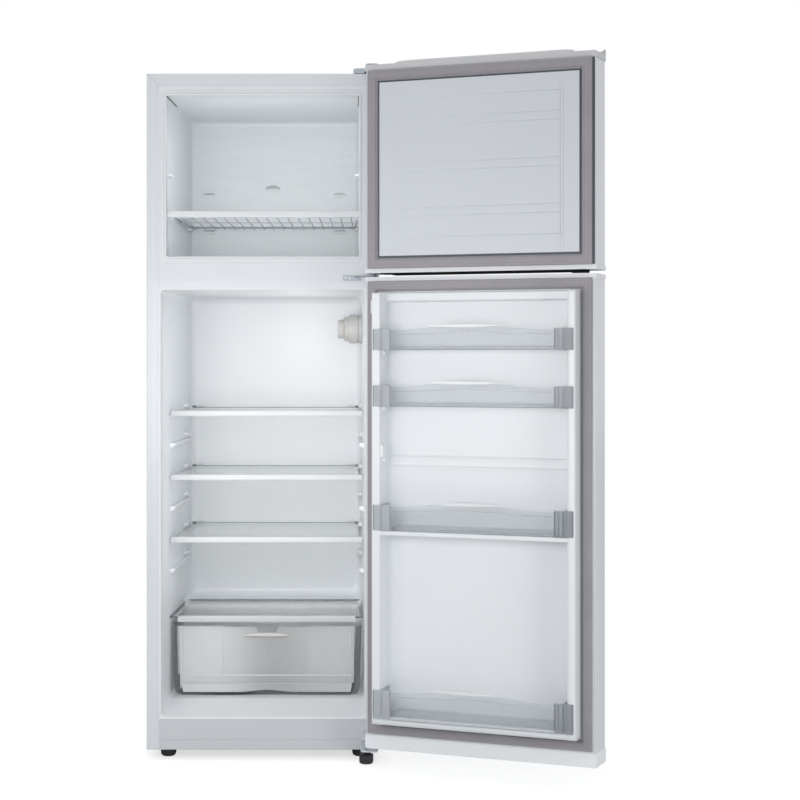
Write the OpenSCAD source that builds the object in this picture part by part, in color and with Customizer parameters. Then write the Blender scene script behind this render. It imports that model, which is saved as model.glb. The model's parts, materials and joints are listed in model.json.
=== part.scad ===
// Refrigerator with a freezer on top, doors standing open.
// X runs to the right seen from the front, Y to the back, Z up.
// The origin lies on the floor under the middle of the cabinet.

/* [Cabinet] */
// Width of the steel case
case_w = 550; // [520:5:620]
// Height of the steel case above its feet
case_h = 1600; // [1560:10:1750]
// Depth of the steel case
case_d = 520; // [515:5:600]
// Thickness of the case and back sheet
sheet_t = 1; // [0.8:0.1:1.4]
// Width of the folded front flange
flange_w = 30; // [24:1:32]
// Thickness of the front plates, kick panel and base pan
plate_t = 2; // [1.5:0.5:3]
// Height of the cabinet above the floor
foot_h = 24; // [20:1:40]

/* [Fresh food compartment] */
// Distance from the case side to the fridge opening
fridge_wall = 34; // [34:1:44]
// Height of the sill under the fridge opening
sill_z = 77; // [70:1:90]
// Insulation behind the fridge compartment
back_wall = 45; // [45:1:70]
// How far each side wall closes in towards the rear
draft = 13; // [6:1:16]
// Rise of the compartment floor behind the sill
floor_rise = 22; // [10:1:28]
// Thickness of the moulded liners
liner_t = 2; // [1.5:0.5:3]
// Height of the hump over the machine room
hump_z = 290; // [280:5:320]
// Depth of the hump, measured from the rear wall
hump_d = 143; // [135:1:160]

/* [Freezer compartment] */
// Height of the freezer opening
freezer_h = 381; // [340:1:420]
// Insulation above the freezer
roof_t = 52; // [46:1:60]
// Height of the rail between the two openings
mullion_h = 80; // [74:1:90]
// Distance from the case side to the freezer opening
freezer_wall = 47; // [46:1:56]
// Insulation behind the freezer
freezer_back = 120; // [80:5:160]
// How far each freezer side wall closes in towards the rear
freezer_draft = 9; // [6:1:12]
// Height of the raised rib around the freezer opening
frame_rib = 2.5; // [1:0.5:3]

/* [Shelves] */
// Height of each glass shelf's front rail, in percent of the fridge opening
shelf_up = [39.4, 54.5, 70]; // [34:0.1:78]
// Height of each unused pair of ledges, in percent of the fridge opening
spare_up = [32.2, 47.3, 62.7]; // [30:0.1:80]
// Distance from the case front to the front rails
rail_y = 115; // [115:1:130]
// Height of a front rail
rail_h = 14.5; // [12:0.5:18]
// Depth of a front rail
rail_d = 16; // [12:1:20]
// Thickness of the shelf glass
glass_t = 4; // [3:0.5:5]
// Gap between a shelf and the side walls
shelf_gap = 4; // [3:0.5:5]
// Width of the ledges that carry the shelves
ledge_w = 12; // [9:1:14]
// Height of the ledges that carry the shelves
ledge_h = 15; // [8:1:18]
// Free space behind each shelf
shelf_back = 11; // [8:1:20]

/* [Crisper] */
// Gap between the drawer and the side walls
drawer_gap = 2.5; // [2:0.5:5]
// Distance from the case front to the drawer front
drawer_y = 127; // [124:1:140]
// Wall of the drawer
drawer_t = 2.5; // [2:0.5:4]
// Space between the drawer rim and the lid ledges
drawer_top_gap = 3; // [2:0.5:6]
// Width of the finger scoop
scoop_w = 64; // [40:2:90]
// Depth of the finger scoop
scoop_h = 26; // [18:1:30]

/* [Freezer shelf] */
// Height of the wire shelf above the freezer floor
wire_shelf_z = 93; // [70:1:150]
// Distance from the case front to the shelf's front bar
bar_front = 6; // [4:1:20]
// Diameter of a shelf wire
wire_d = 3; // [2.5:0.5:4]
// Number of wires from front to back
wire_count = 17; // [11:2:23]

/* [Doors] */
// Angle at which both doors stand open
door_open = 161.35; // [150:0.05:165]
// Thickness of a door at its edges
door_t = 75; // [70:1:78]
// Space between a closed door and the case
door_gap = 10; // [9:0.5:12]
// How far the inner face stays inside the case width, each side
door_inset = 8; // [6:1:12]
// How far the outer face stands past the case width, each side
door_flare = 2; // [0:0.5:3]
// Corner radius of the outer edges
door_r = 15; // [12:1:18]
// Bow of the outer face
door_bow = 4; // [0:1:6]
// Height of the fridge door's lower edge above the case bottom
door_low = 24; // [22:1:28]
// Height of the gap between the doors above the fridge ceiling
split_up = 31.5; // [30:0.5:36]
// Gap between the doors
split_gap = 9; // [8:0.5:10]
// How far the freezer door stands above the case
door_over = 5; // [4:0.5:6]
// Distance from the hinge axis to the side of the case
pivot_x = 13.7; // [13:0.1:14.5]
// Distance from the hinge axis to the front of the case
pivot_y = 44.3; // [44:0.1:46]
// Height of the lower cap of the fridge door
low_cap = 30; // [24:1:34]
// Height of the upper cap of the freezer door
high_cap = 14; // [13:0.5:15]
// Height of the caps beside the gap between the doors
split_cap = 10; // [9.5:0.5:10]
// Height of the raised grip on the upper cap
ridge_h = 7; // [4:1:8]
// Height of the lip along the outer edge of the upper cap
lip_h = 8; // [4:1:8]
// Height of the dark grip strip under the freezer door
grip_h = 3; // [2:0.5:3.5]
// How far the grip strip hangs below the freezer door
grip_drop = 3.5; // [1:0.5:3.5]

/* [Gaskets] */
// Width of a gasket
gasket_w = 24; // [20:1:24]
// Distance from the door's edge to the gasket at the sides
gasket_side = 6; // [6:0.5:8]
// Space left between a closed gasket and the case
gasket_clear = 0.3; // [0.3:0.1:0.6]
// Distance from the low edge of the fridge door to its gasket
gasket_low = 37; // [36:1:42]
// Distance from the top of the freezer door to its gasket
gasket_high = 15; // [15:0.5:18]
// Groove between a gasket and the inner panel
groove = 4; // [3:0.5:6]

/* [Door interiors] */
// Height of the side pillars over the door's inner face
pillar_h = 60; // [50:1:62]
// Width of a pillar's front face
pillar_w = 13; // [11:1:15]
// Slope of each pillar side
pillar_slope = 5; // [3:0.5:6]
// Thickness of the moulded ledges
ledge_t = 12; // [8:1:14]
// Height of the freezer door's inner panel
panel_h = 6.5; // [5:0.5:7]
// Distance from the lower edge of the inner panel to the lowest rack's floor
bin_low = 26; // [20:1:40]
// Height of the other rack floors, in percent of the fridge opening
bin_up = [45.5, 73.3, 85.9]; // [20:0.1:88]
// Height of the unused rack position, in percent of the fridge opening
bin_spare = 62; // [55:0.5:66]
// Heights of the racks
bin_h = [60, 58, 48, 48]; // [40:1:70]
// Wall of the racks
bin_t = 3; // [2.5:0.5:4]
// Width of an end bracket
bracket_w = 42; // [36:1:50]
// Rise of the rack rail in the middle
rail_arch = 16; // [6:1:18]

/* [Hinges] */
// Radius of the hinge pins
pin_r = 4; // [3.5:0.1:4.5]
// Radial clearance of the pins in the doors
pin_clear = 0.05; // [0.03:0.01:0.1]
// Length of a pin inside a door
pin_l = 8; // [7:0.5:8.5]
// Thickness of the hinge plates
hinge_t = 3; // [2.5:0.5:3]

/* [Feet] */
// Radius of the front feet
foot_r = 18.5; // [15:0.5:20]
// Radius of the foot under the lower hinge
hinge_foot_r = 16.5; // [14:0.5:17]
// Radius of a foot's screw
stud_r = 4; // [3:0.5:5]
// Clearance around a foot's screw
stud_clear = 0.3; // [0.2:0.1:0.5]
// Distance from the case side to the feet
foot_x = 46; // [40:1:60]
// Distance from the case front to the front feet
foot_y = 45; // [40:1:60]

/* [Machine room] */
// Depth of the machine room
machine_d = 135; // [130:5:145]
// Height of the machine room
machine_z = 245; // [235:5:250]
// Depth of the compressor
comp_d = 146; // [130:2:150]
// Length of the compressor
comp_l = 190; // [170:5:220]
// Height of the compressor
comp_h = 165; // [150:5:175]
// Height of the rubber grommets
grommet_h = 12; // [8:1:14]
// Radius of the lead bushing's bore
gland_r = 4; // [3:0.5:5]
// Length of the lead bushing
gland_l = 14; // [10:1:18]

/* [Condenser] */
// Radius of the condenser tube
tube_r = 2.5; // [2:0.5:3]
// Number of tube passes
tube_passes = 18; // [8:2:22]
// Number of condenser wires
rod_count = 18; // [10:1:24]
// Space between the back panel and the condenser tube
standoff = 12; // [8:1:14]

/* [Thermostat] */
// Radius of the thermostat and lamp housing
therm_r = 38; // [32:1:42]
// How far the housing stands out of the wall
therm_l = 46; // [40:1:50]
// Radius of the knob
knob_r = 25; // [20:1:28]
// Length of the knob
knob_l = 17; // [14:1:20]
// Distance from the fridge ceiling to the housing's centre
therm_down = 84; // [70:1:120]
// Distance from the rear wall to the housing's centre
therm_back = 75; // [60:5:95]

/* [Hidden] */

$fn = 48;
e = 1;                                  // overshoot of a cutting tool
half_w = case_w / 2;
fridge_hw = half_w - fridge_wall;       // half width of the fridge opening
freezer_hw = half_w - freezer_wall;     // half width of the freezer opening
front_hw = half_w - flange_w;           // half width between the side flanges
freezer_top = case_h - roof_t;
freezer_low = freezer_top - freezer_h;
fridge_top = freezer_low - mullion_h;
rim_w = front_hw - fridge_hw;           // rim of the liner around the fridge opening
rise = fridge_top - sill_z;             // height of the fridge opening
fridge_depth = case_d - back_wall;
freezer_depth = case_d - freezer_back;
hump_y = fridge_depth - hump_d;
machine_y = case_d - machine_d;
shelf_z = [for (u = shelf_up) sill_z + rise * u / 100];
spare_z = [for (u = spare_up) sill_z + rise * u / 100];
floor_y = 105;                          // where the sloped floor becomes level
floor_z = sill_z + floor_rise;
hump_slope = 18;
corner_r = 20;                          // rear corners of the fridge compartment
split_z = fridge_top + split_up;        // middle of the gap between the doors

frame_low = freezer_low - 15;           // freezer frame, outer edges
frame_top = case_h - flange_w;

in_hw = half_w - door_inset;            // half width of a door's inner face
out_hw = half_w + door_flare;           // half width of a door's outer face
fridge_door = [door_low, split_z - split_gap / 2];
freezer_door = [split_z + split_gap / 2, case_h + door_over];
pivot = [half_w - pivot_x, -pivot_y];

gasket_hw = in_hw - gasket_side;
fridge_seal = [fridge_door[0] + gasket_low, fridge_door[1] - split_cap];
freezer_seal = [freezer_door[0] + split_cap, freezer_door[1] - gasket_high];
panel_hw = gasket_hw - gasket_w - groove;
fridge_panel = [fridge_seal[0] + gasket_w + groove, fridge_seal[1] - gasket_w - groove];
freezer_panel = [freezer_seal[0] + gasket_w + groove, freezer_seal[1] - gasket_w - groove];
bin_z = concat([fridge_panel[0] + bin_low], [for (u = bin_up) sill_z + rise * u / 100]);
spare_rack = sill_z + rise * bin_spare / 100;
pillar_out = panel_hw + 2;              // outer foot of a pillar
pillar_in = pillar_out - pillar_w - 2 * pillar_slope;

cover_z = hump_z;                       // underside of the crisper lid
cover_ledge = 8;
drawer_h = cover_z - cover_ledge - drawer_top_gap - floor_z;
drawer_back = hump_y - 7;
run = 0.3;                              // clearance of a sliding piece
cap_flare = 2.2;                        // how far the end caps stand past the door's skin
screw_r = 3.5;
screw_h = 2;

function wall_at(hw, depth, y) = hw - draft * y / depth;
function fridge_at(y) = wall_at(fridge_hw, fridge_depth, y);
function freezer_at(y) = freezer_hw - freezer_draft * y / freezer_depth;
function arc(c, r, a, b, n = 8) = [for (i = [0:n]) let (t = a + (b - a) * i / n) c + r * [cos(t), sin(t)]];

// Cabinet coordinates: Y is 0 at the case front, Z is 0 at the case bottom.
module stand() translate([0, -case_d / 2, foot_h]) children();

// A piece drawn on the closed door, turned about the hinge axis.
module hung() stand() translate([pivot[0], pivot[1], 0]) rotate([0, 0, door_open])
    translate([-pivot[0], -pivot[1], 0]) children();

module block(x, y, z) translate([x[0], y[0], z[0]]) cube([x[1] - x[0], y[1] - y[0], z[1] - z[0]]);
module both() { children(); mirror([1, 0, 0]) children(); }
module along_x(hw, points) translate([-hw, 0, 0]) rotate([90, 0, 90])
    linear_extrude(2 * hw) polygon(points);
module tapered(front, back, y, z) translate([0, 0, z[0]]) linear_extrude(z[1] - z[0])
    polygon([[-front, y[0]], [front, y[0]], [back, y[1]], [-back, y[1]]]);

// Space of the fridge compartment, grown by g on all sides but the front.
module fridge_space(g, front) {
    y1 = fridge_depth + g;
    hw0 = wall_at(fridge_hw, fridge_depth, -front) + g;
    hw1 = fridge_at(fridge_depth - corner_r) + g;
    r = corner_r + g;
    intersection() {
        translate([0, 0, sill_z - e - g - 200]) linear_extrude(case_h) polygon(concat(
            [[-hw0, -front], [hw0, -front]],
            arc([hw1 - r, y1 - r], r, 0, 90),
            arc([r - hw1, y1 - r], r, 90, 180)));
        along_x(half_w, [[-front, sill_z - g], [0, sill_z - g], [floor_y, floor_z - g],
            [hump_y + g, floor_z - g], [hump_y + hump_slope + g, hump_z - g],
            [y1, hump_z - g], [y1, fridge_top + g], [-front, fridge_top + g]]);
    }
}

module freezer_space(g, front) tapered(freezer_at(-front) + g, freezer_hw - freezer_draft + g,
    [-front, freezer_depth + g], [freezer_low - g, freezer_top + g]);

// ---- cabinet -------------------------------------------------------------

module outer_case() color("white") stand() {
    difference() {
        block([-half_w, half_w], [0, case_d], [0, case_h]);
        block([-half_w + sheet_t, half_w - sheet_t], [sheet_t, case_d + e], [-e, case_h - sheet_t]);
        block([-front_hw, front_hw], [-e, sheet_t + e], [-e, case_h - flange_w]);
    }
}

module back_panel() color("gainsboro") stand() difference() {
    hw = half_w - sheet_t;
    along_x(hw, [[case_d - sheet_t, case_h - sheet_t], [case_d, case_h - sheet_t],
        [case_d, machine_z - sheet_t], [machine_y, machine_z - sheet_t], [machine_y, plate_t],
        [machine_y - sheet_t, plate_t], [machine_y - sheet_t, machine_z], [case_d - sheet_t, machine_z]]);
    translate([0, drain_y, machine_z - 2 * sheet_t]) cylinder(r = drain_r, h = 3 * sheet_t);
}

module base_pan() color("gray") stand() {
    hw = half_w - sheet_t;
    difference() {
        union() {
            block([-hw, hw], [plate_t, case_d], [0, plate_t]);
            block([-front_hw, front_hw], [plate_t, 2 * plate_t], [0, 20]);
        }
        both() translate([half_w - foot_x, foot_y, -e])
            cylinder(r = stud_r + stud_clear, h = plate_t + 2 * e);
    }
}

module rear_feet() color("black") stand() both() translate([half_w - foot_x, case_d - 30, -foot_h])
    cylinder(r = foot_r, h = foot_h);

module cabinet_foam() color("khaki") stand() {
    hw = half_w - sheet_t;
    difference() {
        block([-hw, hw], [plate_t, case_d - sheet_t], [plate_t, case_h - sheet_t]);
        block([-hw - e, hw + e], [machine_y - sheet_t, case_d], [0, machine_z]);
        fridge_space(liner_t, 0);
        freezer_space(liner_t, 0);
        block([-front_hw, front_hw], [0, 2 * plate_t], [0, 20]);
        evaporator_plate();
        translate([0, drain_y, machine_z - e]) cylinder(r = drain_r, h = hump_z);
        both() translate([half_w - foot_x, foot_y, 0]) cylinder(r = stud_r + 2, h = 24);
    }
}

module fridge_liner() color("white") stand() {
    difference() {
        union() {
            fridge_space(liner_t, 0);
            block([-front_hw, front_hw], [0, liner_t], [sill_z - rim_w, fridge_top + rim_w]);
        }
        fridge_space(0, e);
        translate([0, drain_y, hump_z - 4 * e]) cylinder(r = drain_r - 1, h = 8 * e);
    }
    for (z = concat(shelf_z, spare_z)) shelf_ledges(z + rail_h - 3 - glass_t);
    lid_ledges();
}

// Moulded ledges under one shelf, and the stops that hold its glass down at the rear.
module shelf_ledges(z) {
    wall_strip([rail_y + rail_d + 3, fridge_depth - 55], ledge_w, [z - ledge_h, z]);
    wall_strip([fridge_depth - 130, fridge_depth - 80], ledge_w - 2, [z + glass_t + 1.5, z + glass_t + 11]);
}
module wall_strip(y, w, z) both() translate([0, 0, z[0]]) linear_extrude(z[1] - z[0]) polygon([
    [fridge_at(y[0]) - w, y[0]], [fridge_at(y[1]) - w, y[1]],
    [fridge_at(y[1]) + 1, y[1]], [fridge_at(y[0]) + 1, y[0]]]);

lid_y = [rail_y + 25, hump_y - 20];
module lid_ledges() wall_strip(lid_y, ledge_w, [cover_z - cover_ledge, cover_z]);

module freezer_box() color("silver") stand() {
    difference() {
        freezer_space(liner_t, -plate_t);
        freezer_space(0, e);
    }
    both() for (y = [[24, 60], [freezer_depth - 60, freezer_depth - 24]])
        translate([0, 0, wire_low - 4 - run]) linear_extrude(4)
            polygon([[freezer_at(y[0]) - 8, y[0]], [freezer_at(y[1]) - 8, y[1]],
                [freezer_at(y[1]) + 1, y[1]], [freezer_at(y[0]) + 1, y[0]]]);
}

module freezer_frame() color("whitesmoke") stand() difference() {
    rib_hw = freezer_hw + 4.5;
    union() {
        block([-front_hw, front_hw], [0, plate_t], [frame_low, frame_top]);
        block([-rib_hw, rib_hw], [-frame_rib, e], [freezer_low - 4.5, freezer_top + 4.5]);
    }
    freezer_space(0, 2 * frame_rib);
}

module mullion_cover() color("white") stand()
    block([-front_hw, front_hw], [0, plate_t], [fridge_top + rim_w, frame_low]);

module kick_panel() color("white") stand() difference() {
    block([-front_hw, front_hw], [0, plate_t], [0, sill_z - rim_w]);
    block([-front_hw + 14, front_hw + e], [-e, 0.8], [21, 23]);
}

evap_w = 300;
evap_z = [fridge_top - 447, fridge_top - 127];
evap_t = 4;
module evaporator_plate() {
    y = fridge_depth + liner_t;
    block([-evap_w / 2, evap_w / 2], [y, y + evap_t], evap_z);
}
module fridge_evaporator() color("silver") stand() evaporator_plate();

drain_r = 6;
drain_y = fridge_depth - 12;
tray_z = plate_t + grommet_h + comp_h + 4;
module drain_tube() color("white") stand() translate([0, drain_y, tray_z + 6]) difference() {
    cylinder(r = drain_r, h = hump_z - liner_t - tray_z - 6);
    translate([0, 0, -e]) cylinder(r = drain_r - 1, h = hump_z);
}

// ---- machine room --------------------------------------------------------

comp_x = 40;
comp_y = machine_y + 8 + comp_d / 2;
comp_z = plate_t + grommet_h;
module compressor() color("black") stand() translate([comp_x, comp_y, comp_z]) {
    difference() {
        union() {
            translate([0, 0, 8]) drum(comp_l, comp_d, comp_h - 8);
            block([-comp_l / 2 - 18, comp_l / 2 + 18], [-comp_d / 2 + 20, comp_d / 2 - 20], [0, 8]);
        }
        for (x = [-1, 1], y = [-1, 1]) translate([x * (comp_l / 2 + 8), y * (comp_d / 2 - 30), -e])
            cylinder(r = 4, h = 12);
    }
    block([-comp_l / 2 - 26, -comp_l / 2 + 8], [-26, 26], [50, 110]);
}

// Rounded drum: an extruded stadium with a stepped lid.
module drum(l, d, h) {
    step = 12;
    for (s = [[0, 0, h - 2 * step], [step / 2, 0, h - step], [step * 1.5, 0, h]])
        linear_extrude(s[2]) union() {
            translate([-(l - d) / 2, 0]) circle(r = d / 2 - s[0]);
            translate([(l - d) / 2, 0]) circle(r = d / 2 - s[0]);
            square([l - d, d - 2 * s[0]], center = true);
        }
}

module compressor_grommets() color("dimgray") stand() for (x = [-1, 1], y = [-1, 1])
    translate([comp_x + x * (comp_l / 2 + 8), comp_y + y * (comp_d / 2 - 30), plate_t])
        cylinder(r = 9, h = grommet_h);

tray_hw = 85;
tray_h = 20;
module drip_tray() color("black") stand() translate([comp_x, comp_y, tray_z]) difference() {
    block([-tray_hw, tray_hw], [-comp_d / 2, comp_d / 2 - 8], [-4, tray_h]);
    block([2 - tray_hw, tray_hw - 2], [-comp_d / 2 + 2, comp_d / 2 - 10], [-2, tray_h + e]);
}

module condenser() color("black") stand() {
    y = case_d + standoff;
    pitch = (cond_z[1] - cond_z[0]) / (tube_passes - 1);
    left = -cond_hw;
    riser_x = left - pitch / 2 - 12;
    shell_x = comp_x - (comp_l - comp_d) / 2 - sqrt(pow(comp_d / 2, 2) - pow(y - tube_r - comp_y, 2)) - run;
    for (i = [0:tube_passes - 1]) tube([left, y, cond_z[0] + i * pitch], [0, 90, 0], 2 * cond_hw);
    for (i = [0:tube_passes - 2]) translate([i % 2 == 0 ? cond_hw : left, y, cond_z[0] + (i + 0.5) * pitch])
        rotate([90, 0, 0]) rotate([0, 0, i % 2 == 0 ? -90 : 90]) rotate_extrude(angle = 180)
            translate([pitch / 2, 0]) circle(r = tube_r);
    // The line down to the drier and on to the compressor
    bend([left, y, cond_z[0]]);
    tube([left, y, suction_z], [0, 0, 0], cond_z[0] - suction_z);
    bend([left, y, suction_z]);
    tube([left, y, suction_z], [0, 90, 0], shell_x - left);
    translate([left, y, suction_z + 30]) cylinder(r = 9, h = 110);
    // The riser from the compressor to the top pass
    bend([riser_x, y, cond_z[1]]);
    tube([riser_x, y, cond_z[1]], [0, 90, 0], left - riser_x);
    tube([riser_x, y, discharge_z], [0, 0, 0], cond_z[1] - discharge_z);
    bend([riser_x, y, discharge_z]);
    tube([riser_x, y, discharge_z], [0, 90, 0], shell_x - riser_x);
    for (i = [0:rod_count - 1]) let (x = left + 12 + i * (2 * cond_hw - 24) / (rod_count - 1))
        block([x - 0.8, x + 0.8], [y + tube_r + 0.1, y + tube_r + 1.7], [cond_z[0] - 20, cond_z[1] + 20]);
    both() for (z = [cond_z[0] + pitch, cond_z[1] - pitch])
        block([cond_hw - 60, cond_hw - 48], [case_d, y], [z - 4, z + 4]);
}
module tube(at, turn, l) translate(at) rotate(turn) cylinder(r = tube_r, h = l);
module bend(at) translate(at) sphere(r = tube_r);
suction_z = 60;
discharge_z = 35;
cond_z = [330, 1450];
cond_hw = 175;

gland_x = half_w - 75;
gland_z = 34;
module cord_gland() color("black") stand() translate([gland_x, case_d - gland_l, gland_z])
    rotate([-90, 0, 0]) difference() {
        plate = gland_r + 12;
        union() {
            translate([0, 0, gland_l]) cylinder(r = gland_r + 5, h = 4);
            cylinder(r = gland_r + 3, h = gland_l);
            block([-plate, plate], [-plate, gland_z - plate_t], [gland_l - plate_t, gland_l]);
        }
        translate([0, 0, -e]) cylinder(r = gland_r, h = gland_l + 4 + 2 * e);
    }

// ---- hinges --------------------------------------------------------------

module axis_at(z) translate([pivot[0], pivot[1], z]) children();

arm_z = case_h + door_over + 2;
module top_hinge() color("silver") stand() {
    block([cap_x[0] + 2, half_w - 5], [8, 70], [case_h, case_h + hinge_t]);
    block([half_w - 30, half_w - 5], [8, 8 + hinge_t], [case_h, arm_z + hinge_t]);
    block([half_w - 30, half_w - 5], [pivot[1] - 9, 8 + e], [arm_z, arm_z + hinge_t]);
    axis_at(freezer_door[1] - pin_l) cylinder(r = pin_r, h = arm_z - freezer_door[1] + pin_l + 1);
}

cap_x = [half_w - 61, half_w - 0.5];
cap_z = case_h + 13;
nose_x = half_w - 32;                   // inner side of the cap over the hinge arm
module top_hinge_cap() color("lightsteelblue") stand() difference() {
    union() {
        block([nose_x, cap_x[1]], [pivot[1] - 14, e], [case_h + door_over + 0.8, cap_z]);
        block(cap_x, [0, 76], [case_h, cap_z]);
    }
    block([nose_x + 1.5, cap_x[1] - 1.5], [pivot[1] - 12.5, 2], [case_h - e, cap_z - 1.5]);
    block([cap_x[0] + 1.5, cap_x[1] - 1.5], [1.5, 74.5], [case_h - e, cap_z - 1.5]);
}

mid_x = front_hw - 12.6;                // hinge side of the middle hinge's plate
split_pin = [split_z - split_gap / 2 - pin_l, split_z + split_gap / 2 + pin_l];
module middle_hinge() color("silver") stand() {
    block([front_hw - 56, mid_x], [-hinge_t, 0], [split_z - 8.8, split_z + 4]);
    translate([0, 0, split_z - hinge_t / 2]) linear_extrude(hinge_t) {
        polygon([[mid_x - 19, 0], [mid_x, 0], [pivot[0] + 7, pivot[1] - 6], [pivot[0] - 7, pivot[1] - 6]]);
        translate(pivot) circle(r = 9);
    }
    axis_at(split_pin[0]) cylinder(r = pin_r, h = split_pin[1] - split_pin[0]);
}

foot_at = [half_w - 30, -25];
low_x = [front_hw - 13, half_w - 3];    // sides of the bottom hinge
low_z = 8;                              // underside of its plate
module bottom_hinge() color("silver") stand() {
    difference() {
        union() {
            block([low_x[0], front_hw], [-hinge_t, 0], [0, door_low + gasket_low - 4]);
            block(low_x, [pivot[1] - 10, 0], [low_z, low_z + hinge_t]);
        }
        translate([foot_at[0], foot_at[1], -e]) cylinder(r = stud_r + stud_clear, h = 30);
    }
    axis_at(low_z) cylinder(r = pin_r, h = door_low - low_z + pin_l);
}

module hinge_screws() color("gray") stand() {
    for (z = [low_z + 16, low_z + 38]) translate([(low_x[0] + front_hw) / 2, -hinge_t, z])
        rotate([90, 0, 0]) cylinder(r = screw_r, h = screw_h);
    for (x = [mid_x - 36, mid_x - 26]) translate([x, -hinge_t, split_z - 2.4])
        rotate([90, 0, 0]) cylinder(r = screw_r, h = screw_h);
    for (p = [[cap_x[0] + 9, 25], [cap_x[0] + 9, 55], [cap_x[1] - 15, 40]])
        translate([p[0], p[1], case_h + hinge_t]) cylinder(r = screw_r, h = screw_h);
}

// ---- feet ----------------------------------------------------------------

module bowl_foot() color("black") {
    rotate_extrude() polygon(concat([[0, 0], [foot_r - 6, 0]],
        arc([foot_r - 6, 8], 6, -60, 0, 6), [[foot_r, foot_h - 0.3], [0, foot_h - 0.3]]));
    cylinder(r = stud_r, h = foot_h + 20);
}
module left_foot() stand() translate([-half_w + foot_x, foot_y, -foot_h]) bowl_foot();
module right_foot() stand() translate([half_w - foot_x, foot_y, -foot_h]) bowl_foot();
module hinge_foot() color("black") stand() translate([foot_at[0], foot_at[1], -foot_h]) {
    cylinder(r = hinge_foot_r, h = foot_h - 2);
    cylinder(r = stud_r, h = foot_h + door_low - 6);
}

// ---- thermostat ----------------------------------------------------------

therm_gap = 0.3;
seat = 0.1;                             // clearance of a piece seated on a wall
therm_y = fridge_depth - therm_back;
module therm_frame() stand() translate([fridge_at(therm_y) - seat, therm_y, fridge_top - therm_down])
    rotate([0, -90, atan(draft / fridge_depth)]) children();
module thermostat_housing() color("whitesmoke") therm_frame() difference() {
    union() {
        cylinder(r = therm_r, h = therm_l - 12);
        cylinder(r = therm_r - 5, h = therm_l);
    }
    translate([0, 0, 2.5]) cylinder(r = therm_r - 8, h = therm_l - 5);
    translate([0, 0, therm_l - 5]) cylinder(r = 3 + pin_clear, h = 12);
}
module thermostat_knob() color("white") therm_frame() {
    translate([0, 0, therm_l + therm_gap]) difference() {
        cylinder(r = knob_r, h = knob_l);
        translate([-1, 8, knob_l - 1]) cube([2, knob_r - 10, 2]);
    }
    translate([0, 0, therm_l - 8]) cylinder(r = 3, h = 12);
}
module lamp() color("lightyellow") therm_frame() {
    translate([0, -14, 2.5]) cylinder(r = 7, h = 12);
    translate([0, -14, 14.5]) cylinder(r = 9, h = 16);
}

// ---- shelves -------------------------------------------------------------

module shelf_glass(z) color("lightcyan", 0.5) stand() {
    y = [rail_y + rail_d - 4, fridge_depth - shelf_back];
    tapered(fridge_at(y[0]) - shelf_gap, fridge_at(y[1]) - shelf_gap, y,
        [z + rail_h - 3 - glass_t, z + rail_h - 3]);
}
module shelf_trim(z) color("white") stand() {
    hw = fridge_at(rail_y) - shelf_gap;
    y1 = fridge_depth - shelf_back;
    difference() {
        glass_z = z + rail_h - 3 - glass_t;
        y = rail_y + rail_d;
        block([-hw, hw], [rail_y, y], [z, z + rail_h]);
        block([-hw - e, hw + e], [y - 4, y + e], [glass_z, glass_z + glass_t]);
        block([-hw - e, hw + e], [rail_y + 5, y + e], [z - e, glass_z - 3]);
    }
    clip_hw = fridge_at(y1) - ledge_w - 8;
    both() block([clip_hw - 16, clip_hw], [y1 - 10, y1], [z + rail_h - 3, z + rail_h + 1]);
}
module shelf_1_glass() shelf_glass(shelf_z[0]);
module shelf_1_trim() shelf_trim(shelf_z[0]);
module shelf_2_glass() shelf_glass(shelf_z[1]);
module shelf_2_trim() shelf_trim(shelf_z[1]);
module shelf_3_glass() shelf_glass(shelf_z[2]);
module shelf_3_trim() shelf_trim(shelf_z[2]);

cover_y = [rail_y + 6, hump_y + 50];
cover_bar_hw = fridge_at(rail_y) - 21;
module cover_glass() color("lightcyan", 0.5) stand()
    tapered(fridge_at(cover_y[0]) - 2, fridge_at(cover_y[1]) - 2, cover_y, [cover_z, cover_z + glass_t]);
module cover_trim() color("white") stand() difference() {
    block([-cover_bar_hw, cover_bar_hw], [rail_y, rail_y + 11], [cover_z - 9, cover_z + 6]);
    block([-cover_bar_hw - e, cover_bar_hw + e], [cover_y[0], rail_y + 12], [cover_z, cover_z + glass_t]);
}

module crisper_drawer() color("lightcyan", 0.4) stand() {
    f = fridge_at(drawer_y) - drawer_gap;
    b = fridge_at(drawer_back) - drawer_gap;
    t = drawer_t;
    top = floor_z + drawer_h;
    s = scoop_w / 2;
    difference() {
        tapered(f, b, [drawer_y, drawer_back], [floor_z, top]);
        tapered(f - t, b - t, [drawer_y + t, drawer_back - t], [floor_z + t, top + e]);
        translate([0, drawer_y + t + e, top]) rotate([90, 0, 0]) linear_extrude(t + 2 * e)
            polygon([[-s, e], [s, e], [s - 10, -scoop_h], [10 - s, -scoop_h]]);
    }
    block([10 - s, s - 10], [drawer_y, drawer_y + 22], [top - scoop_h - t, top - scoop_h]);
}

// ---- freezer shelf -------------------------------------------------------

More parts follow.
